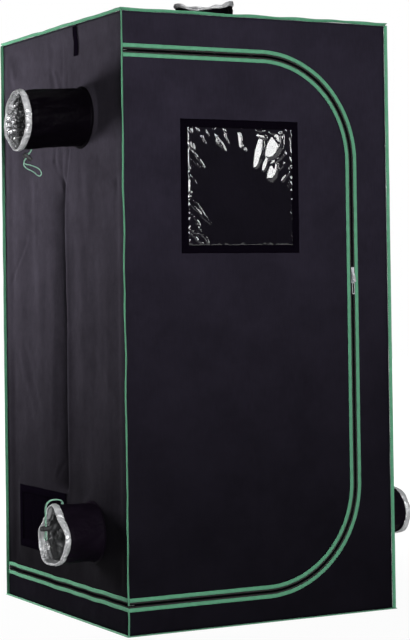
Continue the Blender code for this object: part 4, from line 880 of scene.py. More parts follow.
def front_shape(sizes):
    """How the door and the front round it stand out."""
    def shape(u, v):
        near_zip = smooth((abs(zip_gap(u, v, sizes.zip_radius)) - 0.012) / 0.045)
        window = box_gap(u, v, WINDOW_LOW.x, WINDOW_HIGH.x, WINDOW_LOW.z, WINDOW_HIGH.z)
        free = near_zip * smooth(window / 0.04)
        edge = smooth((HALF_WIDTH - FRAME_BAND - abs(u)) / 0.03)
        edge *= smooth((min(v, HEIGHT - v) - FRAME_BAND) / 0.03)
        broad = 0.0022 * ripple(u, v, 0.16, 0.24, 3.1)
        broad += sizes.ripple * ripple(u, v, 0.035, 0.060, 8.7)
        fine = 0.00035 * ripple(u, v, 0.011, 0.016, 1.9)
        pressed = pack_line(v, FRONT_PACK_LINES) + pack_line(u, FRONT_PACK_COLUMNS)
        pucker = 0.0007 * ripple(u, v, 0.010, 0.010, 5.3) * smooth(1 - abs(window - 0.01) / 0.02)
        return (broad + pressed) * free * edge + (fine + pucker) * edge * near_zip
    return shape


def left_shape(sizes):
    """How the left wall hangs: a storage crease, gathers round the sleeves and pressed lines."""
    ports = [SLEEVES[name]["base"] for name in ("upper_left", "lower_left")]
    low = ZIP_BOTTOM + 0.012

    def shape(u, v):
        fade = smooth((HALF_DEPTH - FRAME_BAND - abs(u)) / 0.030)
        fade *= smooth((HEIGHT - FRAME_BAND - v) / 0.030)
        fade *= smooth((v - low) / 0.04)
        for _, port_u, port_v in ports:
            far = math.hypot(u - port_u, v - port_v) - SLEEVE_RADIUS - SLEEVE_COLLAR
            fade *= smooth(far / 0.018)
        vent = box_gap(u, v, VENT_LOW.y, VENT_HIGH.y, VENT_LOW.z, VENT_HIGH.z)
        fade *= smooth((vent - 0.001) / 0.022)
        past = u - LEFT_CREASE_Y - 0.004 * ripple(v, 0, 0.3, 1, 2.2)
        along = smooth((1.215 - v) / 0.10) * smooth((v - 0.30) / 0.05)
        behind = max(0.0, 1 - past / CREASE_BEHIND) ** 2
        crease = behind if past > 0 else math.exp(past / CREASE_ROUND)
        crease *= -sizes.crease * along
        lip = 0.0030 * math.exp(-((past + 0.016) / 0.010) ** 2) * along
        broad = 0.0040 * ripple(u, v, 0.11, 0.42, 6.4) + 0.0012 * ripple(u, v, 0.050, 0.14, 9.2)
        small = sizes.ripple * 0.45 * ripple(u, v, 0.022, 0.050, 4.4)
        fine = 0.0002 * ripple(u, v, 0.009, 0.018, 7.7)
        pressed = pack_line(v, LEFT_PACK_LINES)
        total = crease + lip + broad + small + fine + pressed + 0.55 * stroke(u, v, LEFT_FOLDS)
        return total * fade - 0.0022 * fade
    return shape


def plain_shape(sizes, seed):
    """How a plain wall hangs between the tubes of the frame."""
    def shape(u, v):
        side = smooth((HALF_WIDTH - FRAME_BAND - abs(u)) / 0.05)
        end = smooth((min(v, HEIGHT - v) - FRAME_BAND) / 0.05)
        broad = 0.0040 * ripple(u, v, 0.12, 0.45, seed)
        broad += 0.0018 * ripple(u, v, 0.045, 0.16, seed + 1)
        small = sizes.ripple * ripple(u, v, 0.020, 0.050, seed + 2)
        return (broad + small - 0.0015) * side * end
    return shape


def roof_shape(sizes):
    """How the roof arches over the hanging bars."""
    def shape(u, v):
        side = smooth((HALF_WIDTH - FRAME_BAND - abs(u)) / 0.05)
        end = smooth((HALF_DEPTH - FRAME_BAND - abs(v)) / 0.05)
        waves = 0.0016 * ripple(u, v, 0.12, 0.20, 11.3)
        waves += sizes.ripple * ripple(u, v, 0.03, 0.05, 12.3)
        return max(0.0, 0.0016 + waves) * side * end
    return shape


def fade_round(shape, centre_u, centre_v):
    """The same shape, flat round a sleeve's opening."""
    def flat_there(u, v):
        far = math.hypot(u - centre_u, v - centre_v) - SLEEVE_RADIUS - SLEEVE_COLLAR
        return shape(u, v) * smooth(far / 0.04)
    return flat_there


def skirt_shape(low, high):
    """How the strip below the left wall bulges over the bottom rail."""
    def shape(u, v):
        side = smooth((HALF_DEPTH - abs(u)) / 0.02)
        up = (v - low) / (high - low)
        bulge = 0.0022 * math.sin(math.pi * up)
        small = 0.0012 * ripple(u, v, 0.045, 0.03, 41.0) + 0.0005 * ripple(u, v, 0.014, 0.02, 42.0)
        return (bulge + small * smooth(up * 4) * smooth((1 - up) * 4)) * side
    return shape


def film_shape(u, v):
    """How the window's film bulges and crumples inside its border."""
    sunk = -HALF_DEPTH - (PANE_LOW.y + PANE_HIGH.y) / 2
    edge = min(u - PANE_LOW.x, PANE_HIGH.x - u, v - PANE_LOW.z, PANE_HIGH.z - v)
    loose = smooth(edge / (0.005 + 0.008 * (1 + ripple(u, v, 0.012, 0.012, 50.0))))
    billow = 0.0010 * ripple(u, v, 0.16, 0.22, 51.0) + 0.00010 * ripple(u, v, 0.030, 0.045, 52.0)
    bent_u = u + 0.0026 * ripple(u, v, 0.013, 0.013, 53.0)
    bent_v = v + 0.0030 * ripple(u, v, 0.013, 0.013, 54.0)
    crumpled = max(facets(bent_u, bent_v, FILM_FACETS, -1.0),
                   facets(bent_u, bent_v, FILM_LINES, 1.0))
    return sunk + (FILM_BULGE + billow) * loose + crumpled * smooth(edge / 0.004)


def no_lift(u, v):
    """Flat cloth."""
    return 0.0


def soft_lift(u, v):
    """Small waves of a sewn tape."""
    return 0.00035 * (1 + ripple(u, v, 0.022, 0.022, 91.0))


# Sweeps for tapes, coils and bindings


def ring_faces(rings, count, closed=False):
    """Faces from each ring of points to the next, and back to the first if closed."""
    faces = []
    for ring in range(rings if closed else rings - 1):
        here = ring * count
        there = (ring + 1) % rings * count
        for index in range(count):
            after = (index + 1) % count
            faces.append((here + index, here + after, there + after, there + index))
    return faces


def sweep(name, stations, profile, materials, closed=False, small=None):
    """Runs a closed profile of (side, out) pairs along stations of (place, side, out).

    Every second station is a gap between teeth where small is 0 or 1, the first or the second.
    """
    points = []
    flat = []
    count = len(profile)
    middle = sum(n for _, n in profile) / count
    travelled = 0.0
    for index, (place, side, out) in enumerate(stations):
        if index:
            travelled += (place - stations[index - 1][0]).length
        share = SMALL_TOOTH if index % 2 == small else 1.0
        for s, n in profile:
            points.append(place + side * s + out * (middle + (n - middle) * share))
            flat.append((travelled, s))
    faces = ring_faces(len(stations), count, closed)
    if not closed:
        faces.append(tuple(range(count))[::-1])
        faces.append(tuple(range(len(points) - count, len(points))))
    piece = new_piece(name, points, faces, flat, materials)
    fix_normals(piece)
    return piece


def fix_normals(piece):
    """Turns every face of a closed piece outwards."""
    bm = bmesh.new()
    bm.from_mesh(piece.data)
    bmesh.ops.recalc_face_normals(bm, faces=bm.faces)
    bm.to_mesh(piece.data)
    bm.free()
    piece.data.update()


def line_run(start, end, side, step, skip_first=False):
    """Evenly spaced (u, v, side) along a straight line."""
    length = math.hypot(end[0] - start[0], end[1] - start[1])
    count = max(1, math.ceil(length / step))
    run = []
    for index in range(1 if skip_first else 0, count + 1):
        share = index / count
        u = start[0] + (end[0] - start[0]) * share
        v = start[1] + (end[1] - start[1]) * share
        run.append((u, v, *side))
    return run


def arc_run(centre, radius, start, end, step):
    """Evenly spaced (u, v, side) along an arc, its start left out."""
    count = math.ceil(abs(end - start) * radius / step)
    run = []
    for index in range(1, count + 1):
        angle = start + (end - start) * index / count
        side = (math.cos(angle), math.sin(angle))
        run.append((centre[0] + radius * side[0], centre[1] + radius * side[1], *side))
    return run


def zip_path(radius, step):
    """The door's zip line from top left to bottom left, with its outward side."""
    mid_u = ZIP_X - radius
    high = ZIP_TOP - radius
    low = ZIP_BOTTOM + radius
    path = line_run((-INNER_X, ZIP_TOP), (mid_u, ZIP_TOP), (0, 1), step)
    path += arc_run((mid_u, high), radius, math.pi / 2, 0, step)
    path += line_run((ZIP_X, high), (ZIP_X, low), (1, 0), step, True)
    path += arc_run((mid_u, low), radius, 0, -math.pi / 2, step)
    path += line_run((mid_u, ZIP_BOTTOM), (-INNER_X, ZIP_BOTTOM), (0, -1), step, True)
    return path


def door_outline(offset, radius):
    """The outline of the door, its zip edge moved inwards or outwards."""
    path = zip_path(radius, FINE_STEP)
    return [(u + side_u * offset, v + side_v * offset) for u, v, side_u, side_v in path]


def front_stations(radius, step, lift):
    """Stations along the door's zip, lifted with the cloth."""
    return [(front_place(u, v, lift(u, v)), Vector((side_u, 0, side_v)), FORWARD)
            for u, v, side_u, side_v in zip_path(radius, step)]


def left_stations(step, start_y, lift):
    """Stations along the zip at the foot of the left wall, front to back."""
    end_y = HALF_DEPTH - EDGE_THICKNESS / 2 - GAP
    count = math.ceil((end_y - start_y) / step)
    stations = []
    for index in range(count + 1):
        y = start_y + (end_y - start_y) * index / count
        free = smooth((y - start_y) / 0.08) * smooth((end_y - y) / 0.05)
        z = ZIP_BOTTOM + 0.0050 * ripple(y, 0, 0.11, 1, 95.0) * free
        stations.append((left_place(y, z, lift(y, z)), -UP, LEFTWARD))
    return stations


def corner_stations():
    """Stations that carry a tape round the front left corner at the zip's height."""
    turns = []
    for degrees in (22.5, 45, 67.5):
        angle = math.radians(degrees)
        out = LEFTWARD * math.sin(angle) + FORWARD * math.cos(angle)
        corner = Vector((-HALF_WIDTH, -HALF_DEPTH, ZIP_BOTTOM))
        turns.append((corner + out * CORNER_STANDOFF, -UP, out))
    return turns


def beside(stations, offset):
    """The same stations, moved to their side."""
    return [(place + side * offset, side, out) for place, side, out in stations]


def binding_profile(width):
    """Section of a binding that lies on the cloth: soft edges and a low crown."""
    half = width / 2
    crown = []
    for share in (-1.0, -0.92, -0.75, -0.4, 0.0, 0.4, 0.75, 0.92, 1.0):
        height = 0.55 + 0.45 * math.sqrt(max(0.0, 1 - abs(share) ** 3))
        crown.append((half * share, GAP + BINDING_THICKNESS * height))
    return [(-half, GAP)] + crown + [(half, GAP)]


def edge_profile(width, thickness):
    """Section of a folded binding on a tent's edge, as (away from the edge, across)."""
    half = thickness / 2
    upper = [(GAP, half * 0.9), (width * 0.22, half), (width * 0.5, half * 0.82),
             (width * 0.8, half * 0.86), (width - half * 0.45, half * 0.62), (width, half * 0.2)]
    return upper + [(away, -across) for away, across in reversed(upper)]


def zip_tape_profile(side):
    """Section of one half of a zip's tape, on either side of the zip."""
    end = ZIP_HALF_WIDTH - GAP
    points = [(ZIP_TAPE_START, ZIP_TAPE_FOOT), (ZIP_TAPE_START, ZIP_TAPE_TOP),
              (end, ZIP_TAPE_TOP), (end, ZIP_TAPE_FOOT)]
    return [(side * s, n) for s, n in points]


def coil_profile(side):
    """Section of one half of a zip's coil, on either side of the zip."""
    angles = [math.tau * step / 8 for step in range(8)]
    return [(side * (COIL_MIDDLE + COIL_HALF_WIDTH * math.cos(angle)),
             -COIL_SUNK + COIL_HALF_HEIGHT * math.sin(angle)) for angle in angles]


def edge_ring(height, tilt, seed):
    """Stations of a binding round the whole tent, with mitred corners. Seed 0 keeps it straight."""
    count = 90
    stations = []
    for index, (side_x, side_y) in enumerate(CORNER_SIDES):
        start = Vector((side_x * HALF_WIDTH, side_y * HALF_DEPTH, height))
        next_x, next_y = CORNER_SIDES[(index + 1) % 4]
        end = Vector((next_x * HALF_WIDTH, next_y * HALF_DEPTH, height))
        for step in range(count):
            share = step / count
            out = Vector((*(EDGE_SIDES[index] if step else (side_x, side_y)), 0))
            lift = 0.0
            lean = tilt
            if seed and step:
                free = smooth(share / 0.04) * smooth((1 - share) / 0.04)
                lift = 0.0030 * ripple(share * 0.8, index, 0.12, 1, seed) * free
                lean = tilt + 0.55 * ripple(share * 0.8, index, 0.07, 1, seed + 1) * free
            away = out * math.cos(lean) + UP * math.sin(lean)
            across = UP * math.cos(lean) - out * math.sin(lean)
            stations.append((start.lerp(end, share) + UP * lift, away, across))
    return stations


def leg_stations(side_x, side_y, low_z, high_z):
    """Stations of a binding up an upright edge of the tent, which sways and leans a little."""
    away = Vector((side_x, side_y, 0)).normalized()
    across = Vector((-side_y, side_x, 0)).normalized()
    count = math.ceil((high_z - low_z) / COARSE_STEP)
    stations = []
    for index in range(count + 1):
        z = low_z + (high_z - low_z) * index / count
        free = smooth((z - low_z) / 0.02) * smooth((high_z - z) / 0.02)
        sway = 0.0024 * ripple(z, side_x, 0.11, 1, 81.0 + side_y) * free
        lean = 0.22 * ripple(z, side_y, 0.08, 1, 82.0 + side_x) * free
        place = Vector((side_x * HALF_WIDTH, side_y * HALF_DEPTH, z)) + across * sway
        stations.append((place, (away + across * lean).normalized(),
                         (across - away * lean).normalized()))
    return stations


def smooth_route(route, spacing):
    """Points at an even spacing along a smooth curve through a route's own points."""
    padded = [2 * route[0] - route[1]] + route + [2 * route[-1] - route[-2]]
    fine = []
    steps = 12
    for before, start, end, after in zip(padded, padded[1:], padded[2:], padded[3:]):
        for step in range(steps):
            t = step / steps
            pull = (end - before) * t + (2 * before - 5 * start + 4 * end - after) * t * t
            pull += (3 * start - before - 3 * end + after) * t * t * t
            fine.append(start + pull / 2)
    fine.append(route[-1])
    total = sum((b - a).length for a, b in zip(fine, fine[1:]))
    count = math.ceil(total / spacing)
    chosen = [fine[0]]
    travelled = 0
    for a, b in zip(fine, fine[1:]):
        step = (b - a).length
        while len(chosen) < count and travelled + step >= total * len(chosen) / count:
            chosen.append(a.lerp(b, (total * len(chosen) / count - travelled) / step))
        travelled += step
    chosen.append(fine[-1])
    return chosen


# Shapes of the duct sleeves


def share_at(shares, turn):
    """Smooth value round a closed table of shares, turn from 0 to 1."""
    place = (turn % 1.0) * len(shares)
    index = int(place) % len(shares)
    after = (index + 1) % len(shares)
    blend = smooth(place - int(place))
    return shares[index] * (1 - blend) + shares[after] * blend


def round_noise(turn, scale, u=0.0, v=0.0, along=0.0):
    """Smooth noise that joins up round a sleeve, and that slants where u and v change along it."""
    angle = math.tau * turn
    return noise.noise(Vector((math.cos(angle) * scale + u, math.sin(angle) * scale - v, along)))


def neck_share(sleeve):
    """Where along a sleeve its cuff starts."""
    return 1 - CUFF_LENGTH / sleeve["length"]


def sleeve_point(sleeve, turn, along, radius_extra, rim_extra):
    """A point on a sleeve: turn round it, along it from the wall, and how far off its surface."""
    spoke = sleeve["up"] * math.cos(math.tau * turn) + sleeve["side"] * math.sin(math.tau * turn)
    share = 1 + (share_at(sleeve["mouth"], turn) - 1) * smooth(along)
    reach = along * sleeve["length"] * (1 + share_at(sleeve["rim"], turn) * along) + rim_extra
    centre = Vector(sleeve["base"]) + sleeve["out"] * (GAP + reach)
    centre -= UP * sleeve["droop"] * along * along
    return centre + spoke * (SLEEVE_RADIUS * share + radius_extra)


def sleeve_slack(sleeve, seed, stage, turn):
    """How far a sleeve's cloth stands off its plain shape: slack folds, pleats and a drawn neck."""
    neck = neck_share(sleeve)
    loose = smooth(stage / 0.18) * smooth((neck + 0.03 - stage) / 0.06)
    gather = smooth((stage - neck + 0.45) / 0.45)
    swirl = round_noise(turn, 1.3, along=stage * 1.6 + seed)
    slant = round_noise(turn, 2.6, stage * 1.5, stage * 1.1, seed + 1)
    fine = round_noise(turn, 8, along=stage * 6 + seed)
    pleat = math.sin(math.tau * (turn * 17 + 0.35 * swirl)) * 0.0011 * gather
    drawn = -0.0030 * math.exp(-((stage - neck + 0.035) / 0.03) ** 2)
    return (swirl * 0.0042 + slant * 0.0030 + fine * 0.0010) * loose + pleat + drawn


def crumples(sleeve, seed, stage, turn):
    """Broad, sharp and tiny crumples of the silver film at a place on a sleeve."""
    angle = math.tau * turn
    along = stage * sleeve["length"] / SLEEVE_RADIUS
    slant = Vector((math.cos(angle) * 6 + along * 5, math.sin(angle) * 6 - along * 4,
                    along * 9 + seed))
    crush = round_noise(turn, 3.2, along=along * 3.2 + seed)
    crumple = 1 - 3.2 * abs(noise.noise(slant))
    tiny = 1 - 3.2 * abs(noise.noise(slant * 2.7))
    return crush, crumple, tiny


def rim_wave(sleeve, seed, stage, turn):
    """How far the rim of a cuff waves in and out, fading towards its neck."""
    neck = neck_share(sleeve)
    return 0.0045 * round_noise(turn, 2.6, along=seed + 3) * smooth((stage - neck) / (1 - neck))


def ring_piece(name, sleeve, stages, offsets, material, thickness, sides):
    """A tube lofted round a sleeve: offsets gives each stage's distances off the surface."""
    points = []
    flat = []
    for index, stage in enumerate(stages):
        for step in range(sides):
            turn = step / sides
            points.append(sleeve_point(sleeve, turn, stage, *offsets(index, stage, turn)))
            flat.append((math.tau * SLEEVE_RADIUS * turn, stage * sleeve["length"] + index * 1e-4))
    faces = ring_faces(len(stages), sides)
    middle = len(stages) // 2 * sides
    normal = (points[middle + 1] - points[middle]).cross(points[middle + sides] - points[middle])
    outwards = points[middle] - Vector(sleeve["base"])
    outwards -= sleeve["out"] * outwards.dot(sleeve["out"])
    if normal.dot(outwards) < 0:
        faces = [face[::-1] for face in faces]
    return thicken(new_piece(name, points, faces, flat, [material]), thickness)


# Seating of the pieces on the frame


def dress(node, material):
    """Gives a node of the frame its finish."""
    for item in bpy.context.scene.objects:
        if item.get("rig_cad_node") == node:
            for place in item.material_slots:
                place.link = "OBJECT"
                place.material = material
            if not item.material_slots:
                item.data.materials.append(material)
            return
    raise RuntimeError("the frame has no node named " + node)


def seat(piece, body, node):
    """Makes a piece ride on a body, or bakes its place in for a hinged piece, and hides the CAD node
    that it stands for.
    """
    if body == HINGED:
        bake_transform(piece)
    else:
        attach(piece, body)
    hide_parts(node)


def sew_sheet(name, body, node, place, shape, outline, holes, looks,
              thickness=CLOTH_THICKNESS, cell=0.014):
    """Cuts a sheet of cloth into cells, shapes it on a side of the tent and seats it."""
    cut = cut_cloth(outline, holes, cell)
    piece = wall_sheet(name, cut, place, shape, [finish(look) for look in looks], thickness)
    seat(piece, body, node)


def sew_tape(name, body, node, look, stations, profile, crease=None, closed=False,
             small=None):
    """Runs a tape or coil along its stations and seats it. Edges over the crease stay crisp."""
    piece = sweep(name, stations, profile, [finish(look)], closed, small)
    if crease:
        piece.data.set_sharp_from_angle(angle=math.radians(crease))
    seat(piece, body, node)


def sew_border(name, body, node, place, low_u, high_u, low_v, high_v):
    """A sewn webbing border with mitred corners."""
    half = BORDER_WIDTH / 2
    profile = []
    for share, rise in ((-1.0, 0.0), (-0.94, 0.72), (-0.8, 1.0), (0.8, 1.0), (0.94, 0.72),
                        (1.0, 0.0)):
        profile.append((share * half, GAP + BORDER_THICKNESS * rise))
    middle = rectangle(low_u + half, high_u - half, low_v + half, high_v - half)
    count = 28
    zero = place(0, 0, 0)
    along = place(1, 0, 0) - zero
    across = place(0, 1, 0) - zero
    out = place(0, 0, 1) - zero
    stations = []
    for index in range(4):
        start = middle[index]
        end = middle[(index + 1) % 4]
        side = CORNER_SIDES[index]
        stations.append((place(*start, 0), along * side[0] + across * side[1], out))
        side = EDGE_SIDES[index]
        for step in range(1, count):
            share = step / count
            u = start[0] + (end[0] - start[0]) * share
            v = start[1] + (end[1] - start[1]) * share
            lift = 0.0005 * ripple(u, v, 0.03, 0.03, 61.0) + 0.0003
            shift = 0.0007 * ripple(u, v, 0.05, 0.05, 62.0)
            centre = place(u + side[0] * shift, v + side[1] * shift, lift)
            stations.append((centre, along * side[0] + across * side[1], out))
    sew_tape(name, body, node, "border_webbing", stations, profile, WEBBING_CREASE,
             closed=True)


# Camera, floor and light


def place_camera():
    """The camera that matches the photograph's view."""
    yaw, pitch, roll = 0.4896, 0.0196, -0.0137
    place = (-2.5335, -4.8335, 0.893)
    focal_length, photo_height, sensor = 1925.8, 640, 36.0
    shift_right, shift_up, farthest = 0.0019, -0.1138, 60
    forward = Vector((math.sin(yaw) * math.cos(pitch), math.cos(yaw) * math.cos(pitch),
                      math.sin(pitch)))
    right = Vector((math.cos(yaw), -math.sin(yaw), 0))
    up = right.cross(forward)
    turned_right = right * math.cos(roll) + up * math.sin(roll)
    turned_up = up * math.cos(roll) - right * math.sin(roll)
    data = bpy.data.cameras.new("studio_camera")
    data.sensor_fit = "VERTICAL"
    data.sensor_height = sensor
    data.sensor_width = sensor
    data.lens = focal_length * sensor / photo_height
    data.shift_x = shift_right
    data.shift_y = shift_up
    data.clip_end = farthest
    camera = bpy.data.objects.new("studio_camera", data)
    turn = Matrix((turned_right, turned_up, -forward)).transposed().to_4x4()
    camera.matrix_world = Matrix.Translation(place) @ turn
    bpy.context.scene.collection.objects.link(camera)
    bpy.context.scene.camera = camera


def add_lamp(name, place, target, width, height, power):
    """A soft rectangular studio lamp."""
    data = bpy.data.lights.new(name, "AREA")
    data.shape = "RECTANGLE"
    data.size = width
    data.size_y = height
    data.energy = power
    lamp = bpy.data.objects.new(name, data)
    direction = Vector(target) - Vector(place)
    lamp.rotation_euler = direction.to_track_quat("-Z", "Y").to_euler()
    lamp.location = place
    lamp.visible_camera = False
    bpy.context.scene.collection.objects.link(lamp)
    return lamp


def add_card(name, place, target, width, height, power):
    """A bright studio card that shiny surfaces mirror, and that lights nothing else."""
    card = add_lamp(name, place, target, width, height, power)
    card.visible_diffuse = False


def light_world():
    """A plain world: white to the camera, soft grey light, mirrored brighter behind the tent."""
    world = bpy.data.worlds.new("studio_world")
    bpy.context.scene.world = world
    sky = Nodes(world)
    depth = sky.part(sky.node("ShaderNodeTexCoord", {}, {}, "Generated"), 1)
    glow = sky.node("ShaderNodeMapRange", {}, {
        "Value": depth, "From Min": -0.75, "From Max": 0.25, "To Min": 0.008, "To Max": 0.10,
    })
    soft = sky.node("ShaderNodeBackground", {}, {"Strength": 0.02})
    shiny = sky.node("ShaderNodeBackground", {}, {"Strength": glow})
    clean = sky.node("ShaderNodeBackground", {}, {"Color": (1, 1, 1, 1), "Strength": 1.0})
    camera_ray, mirror_ray, clear_ray = [
        sky.node("ShaderNodeLightPath", {}, {}, "Is %s Ray" % kind)
        for kind in ("Camera", "Glossy", "Transmission")]
    gloss = sky.node("ShaderNodeMixShader", {}, {0: mirror_ray, 1: soft, 2: shiny})
    seen = camera_ray.most(clear_ray)
    mixed = sky.node("ShaderNodeMixShader", {}, {0: seen, 1: gloss, 2: clean})
    sky.node("ShaderNodeOutputWorld", {}, {"Surface": mixed})


def lay_floor():
    """A plain pale floor that keeps the tent's shadow."""
    half = 14.0
    mesh = bpy.data.meshes.new("studio_floor")
    points = [(x, y, 0) for x, y in rectangle(-half, half, -half, half)]
    mesh.from_pydata(points, [], [(0, 1, 2, 3)])
    floor = bpy.data.objects.new("studio_floor", mesh)
    bpy.context.scene.collection.objects.link(floor)
    paint = Finish("studio_floor")
    white = paint.node("ShaderNodeEmission", {}, {"Color": (1, 1, 1, 1), "Strength": 1.16})
    matte = paint.node("ShaderNodeBsdfDiffuse", {}, {"Color": (0.13, 0.13, 0.133, 1)})
    seen = paint.node("ShaderNodeLightPath", {}, {}, "Is Camera Ray")
    mirrored = paint.node("ShaderNodeLightPath", {}, {}, "Is Glossy Ray")
    far = paint.node("ShaderNodeVectorMath", {"operation": "LENGTH"}, {0: paint.solid()}, "Value")
    share = seen * (far.step(0.7, 2.6) * 0.17 + 0.83) + mirrored * 0.5
    mixed = paint.node("ShaderNodeMixShader", {}, {0: share, 1: matte, 2: white})
    paint.node("ShaderNodeOutputMaterial", {}, {"Surface": mixed})
    mesh.materials.append(paint.material)


# Operators


class TENT_OT_studio(bpy.types.Operator):
    """Set up the camera, the floor, the lamps and the tent's materials"""

    bl_idname = "tent.studio"
    bl_label = "Studio"
    bl_options = {"REGISTER", "UNDO"}

    def execute(self, context):
        scene = context.scene
        scene.view_settings.view_transform = "Standard"
        place_camera()
        light_world()
        lay_floor()
        add_lamp("front_lamp", (-0.9, -3.6, 1.45), (0.0, -0.4, 0.9), 1.2, 1.2, 112)
        left_lamp = add_lamp("left_lamp", (-1.30, 2.3, 0.85), (-0.4, 0.2, 0.85), 0.8, 0.8, 142)
        left_lamp.visible_glossy = False
        add_lamp("top_lamp", (-0.2, 0.2, 3.6), (0.0, 0.0, 1.6), 1.6, 1.6, 12)
        window = (0.0, -0.4, 1.2)
        add_card("side_card", (-3.6, -3.2, 1.2), (-0.5, -0.2, 0.9), 1.4, 2.0, 10)
        add_card("near_card", (0.905, -3.85, 1.76), window, 0.70, 1.10, 22)
        add_card("far_card", (2.35, -3.05, 1.84), window, 0.85, 0.85, 17)
        add_card("cuff_card", (-3.20, -1.10, 2.10), (-0.5, -0.15, 1.0), 0.6, 1.6, 32)
        make_finishes(scene.tent_colours, scene.tent_sizes)
        return {"FINISHED"}


class TENT_OT_drawcords(bpy.types.Operator):
    """Lay the two drawcords and finish their locks"""

    bl_idname = "tent.drawcords"
    bl_label = "Drawcords"
    bl_options = {"REGISTER", "UNDO"}

    def execute(self, context):
        for label, route in (("upper_left", UPPER_CORD_ROUTE), ("lower_left", LOWER_CORD_ROUTE)):
            base = Vector(SLEEVES[label]["base"])
            points = smooth_route([base + Vector(point) for point in route], CORD_STEP)
            curve = bpy.data.curves.new("drawcord_braid_" + label, "CURVE")
            curve.dimensions = "3D"
            curve.bevel_depth = CORD_RADIUS
            curve.bevel_resolution = 4
            curve.use_fill_caps = True
            spline = curve.splines.new("POLY")
            spline.points.add(len(points) - 1)
            for target, point in zip(spline.points, points):
                target.co = (*point, 1)
            curve.materials.append(finish("braided_cord"))
            piece = bpy.data.objects.new("drawcord_braid_" + label, curve)
            context.scene.collection.objects.link(piece)
            lock_nodes = ["cord_lock_" + label, "cord_lock_button_" + label]
            length = sum((b - a).length for a, b in zip(points, points[1:]))
            seat(piece, "tent", "drawcord_" + label)
            for node in lock_nodes:
                dress(node, finish("moulded_plastic"))
        return {"FINISHED"}


class TENT_OT_frame(bpy.types.Operator):
    """Finish the tubes, hanging bars, corner connectors and zip sliders"""

    bl_idname = "tent.frame"
    bl_label = "Frame and metal"
    bl_options = {"REGISTER", "UNDO"}

    def execute(self, context):
        finishes = {"frame_tube": "powder_coat", "corner_moulding": "moulded_plastic",
                    "zip_steel": "plated_metal"}
        for row in frame["record"]["subparts"]:
            if row["material_slot"] in finishes:
                dress(row["node"], finish(finishes[row["material_slot"]]))
        return {"FINISHED"}


class TENT_OT_plain_walls(bpy.types.Operator):
    """Hang the roof, the back and right walls, lay the floor and sew on the skirt"""

    bl_idname = "tent.plain_walls"
    bl_label = "Plain walls"
    bl_options = {"REGISTER", "UNDO"}

    def execute(self, context):
        sizes = context.scene.tent_sizes
        low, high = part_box("left_skirt")
        roof_at = SLEEVES["roof"]["base"][:2]
        right_at = SLEEVES["lower_right"]["base"][1:]
        plan = rectangle(-HALF_WIDTH, HALF_WIDTH, -HALF_DEPTH, HALF_DEPTH)
        plan_flat = (2 * HALF_WIDTH, 2 * HALF_DEPTH)
        tall = WALL_TOP - WALL_FOOT
        rows = (
            ("roof_cloth", "roof_panel", roof_place, fade_round(roof_shape(sizes), *roof_at), plan,
             [sleeve_hole(*roof_at)], 0.016, plan_flat, "stretched"),
            ("back_cloth", "back_wall", back_place, plain_shape(sizes, 21.7),
             rectangle(-INNER_X, INNER_X, WALL_FOOT, WALL_TOP), [], 0.014,
             (2 * INNER_X, tall), "stretched"),
            ("right_cloth", "right_wall", right_place,
             fade_round(plain_shape(sizes, 31.9), *right_at),
             rectangle(-HALF_DEPTH, HALF_DEPTH, WALL_FOOT, WALL_TOP), [sleeve_hole(*right_at)],
             0.014, (2 * HALF_DEPTH, tall), "stretched"),
            ("floor_cloth", "floor_panel", floor_place, no_lift, plan, [], 0.05, plan_flat, "laid"),
            ("skirt_cloth", "left_skirt", left_place, skirt_shape(low.z, high.z),
             rectangle(-HALF_DEPTH, HALF_DEPTH, low.z, high.z), [], 0.009,
             (2 * HALF_DEPTH, high.z - low.z), "stretched"),
        )
        for name, node, place, shape, outline, holes, cell, flat, held in rows:
            sew_sheet(name, "tent", node, place, shape, outline, holes,
                      ["wall_cloth", "silver_film"], cell=cell)
        return {"FINISHED"}


class TENT_OT_left_wall(bpy.types.Operator):
    """Hang the left wall with its folds, and the strap that ties it up"""

    bl_idname = "tent.left_wall"
    bl_label = "Left wall"
    bl_options = {"REGISTER", "UNDO"}

    def execute(self, context):
        shape = left_shape(context.scene.tent_sizes)
        low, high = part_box("left_wall")
        holes = [sleeve_hole(*SLEEVES[name]["base"][1:]) for name in ("upper_left", "lower_left")]
        holes.append(rectangle(NET_LOW.y - GAP, NET_HIGH.y + GAP,
                               NET_LOW.z - GAP, NET_HIGH.z + GAP))
        sew_sheet("left_cloth", "tent", "left_wall", left_place, shape,
                  rectangle(-HALF_DEPTH, HALF_DEPTH, low.z, high.z), holes,
                  ["painted_lit_cloth", "silver_film"], cell=0.0080)
        self.make_strap(shape)
        return {"FINISHED"}

    def make_strap(self, wall):
        """A webbing strap that hangs from the roof seam over the left wall."""
        low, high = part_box("hanging_strap")
        middle = (low.y + high.y) / 2
        half = (high.y - low.y) / 2
        profile = [(-half, 0), (-half * 0.97, STRAP_THICKNESS), (half * 0.97, STRAP_THICKNESS),
                   (half, 0)]
        count = 24
        stations = []
        for index in range(count + 1):
            share = index / count
            z = high.z - (high.z - low.z) * share
            sway = 0.0016 * math.sin(3.0 * share)
            out = CLOTH_THICKNESS + max(wall(y, z) for y in (low.y, middle, high.y))
            stations.append((left_place(middle - sway, z, out), BACKWARD, LEFTWARD))
        sew_tape("strap_webbing", "tent", "hanging_strap", "strap_webbing", stations,
                 profile, WEBBING_CREASE)


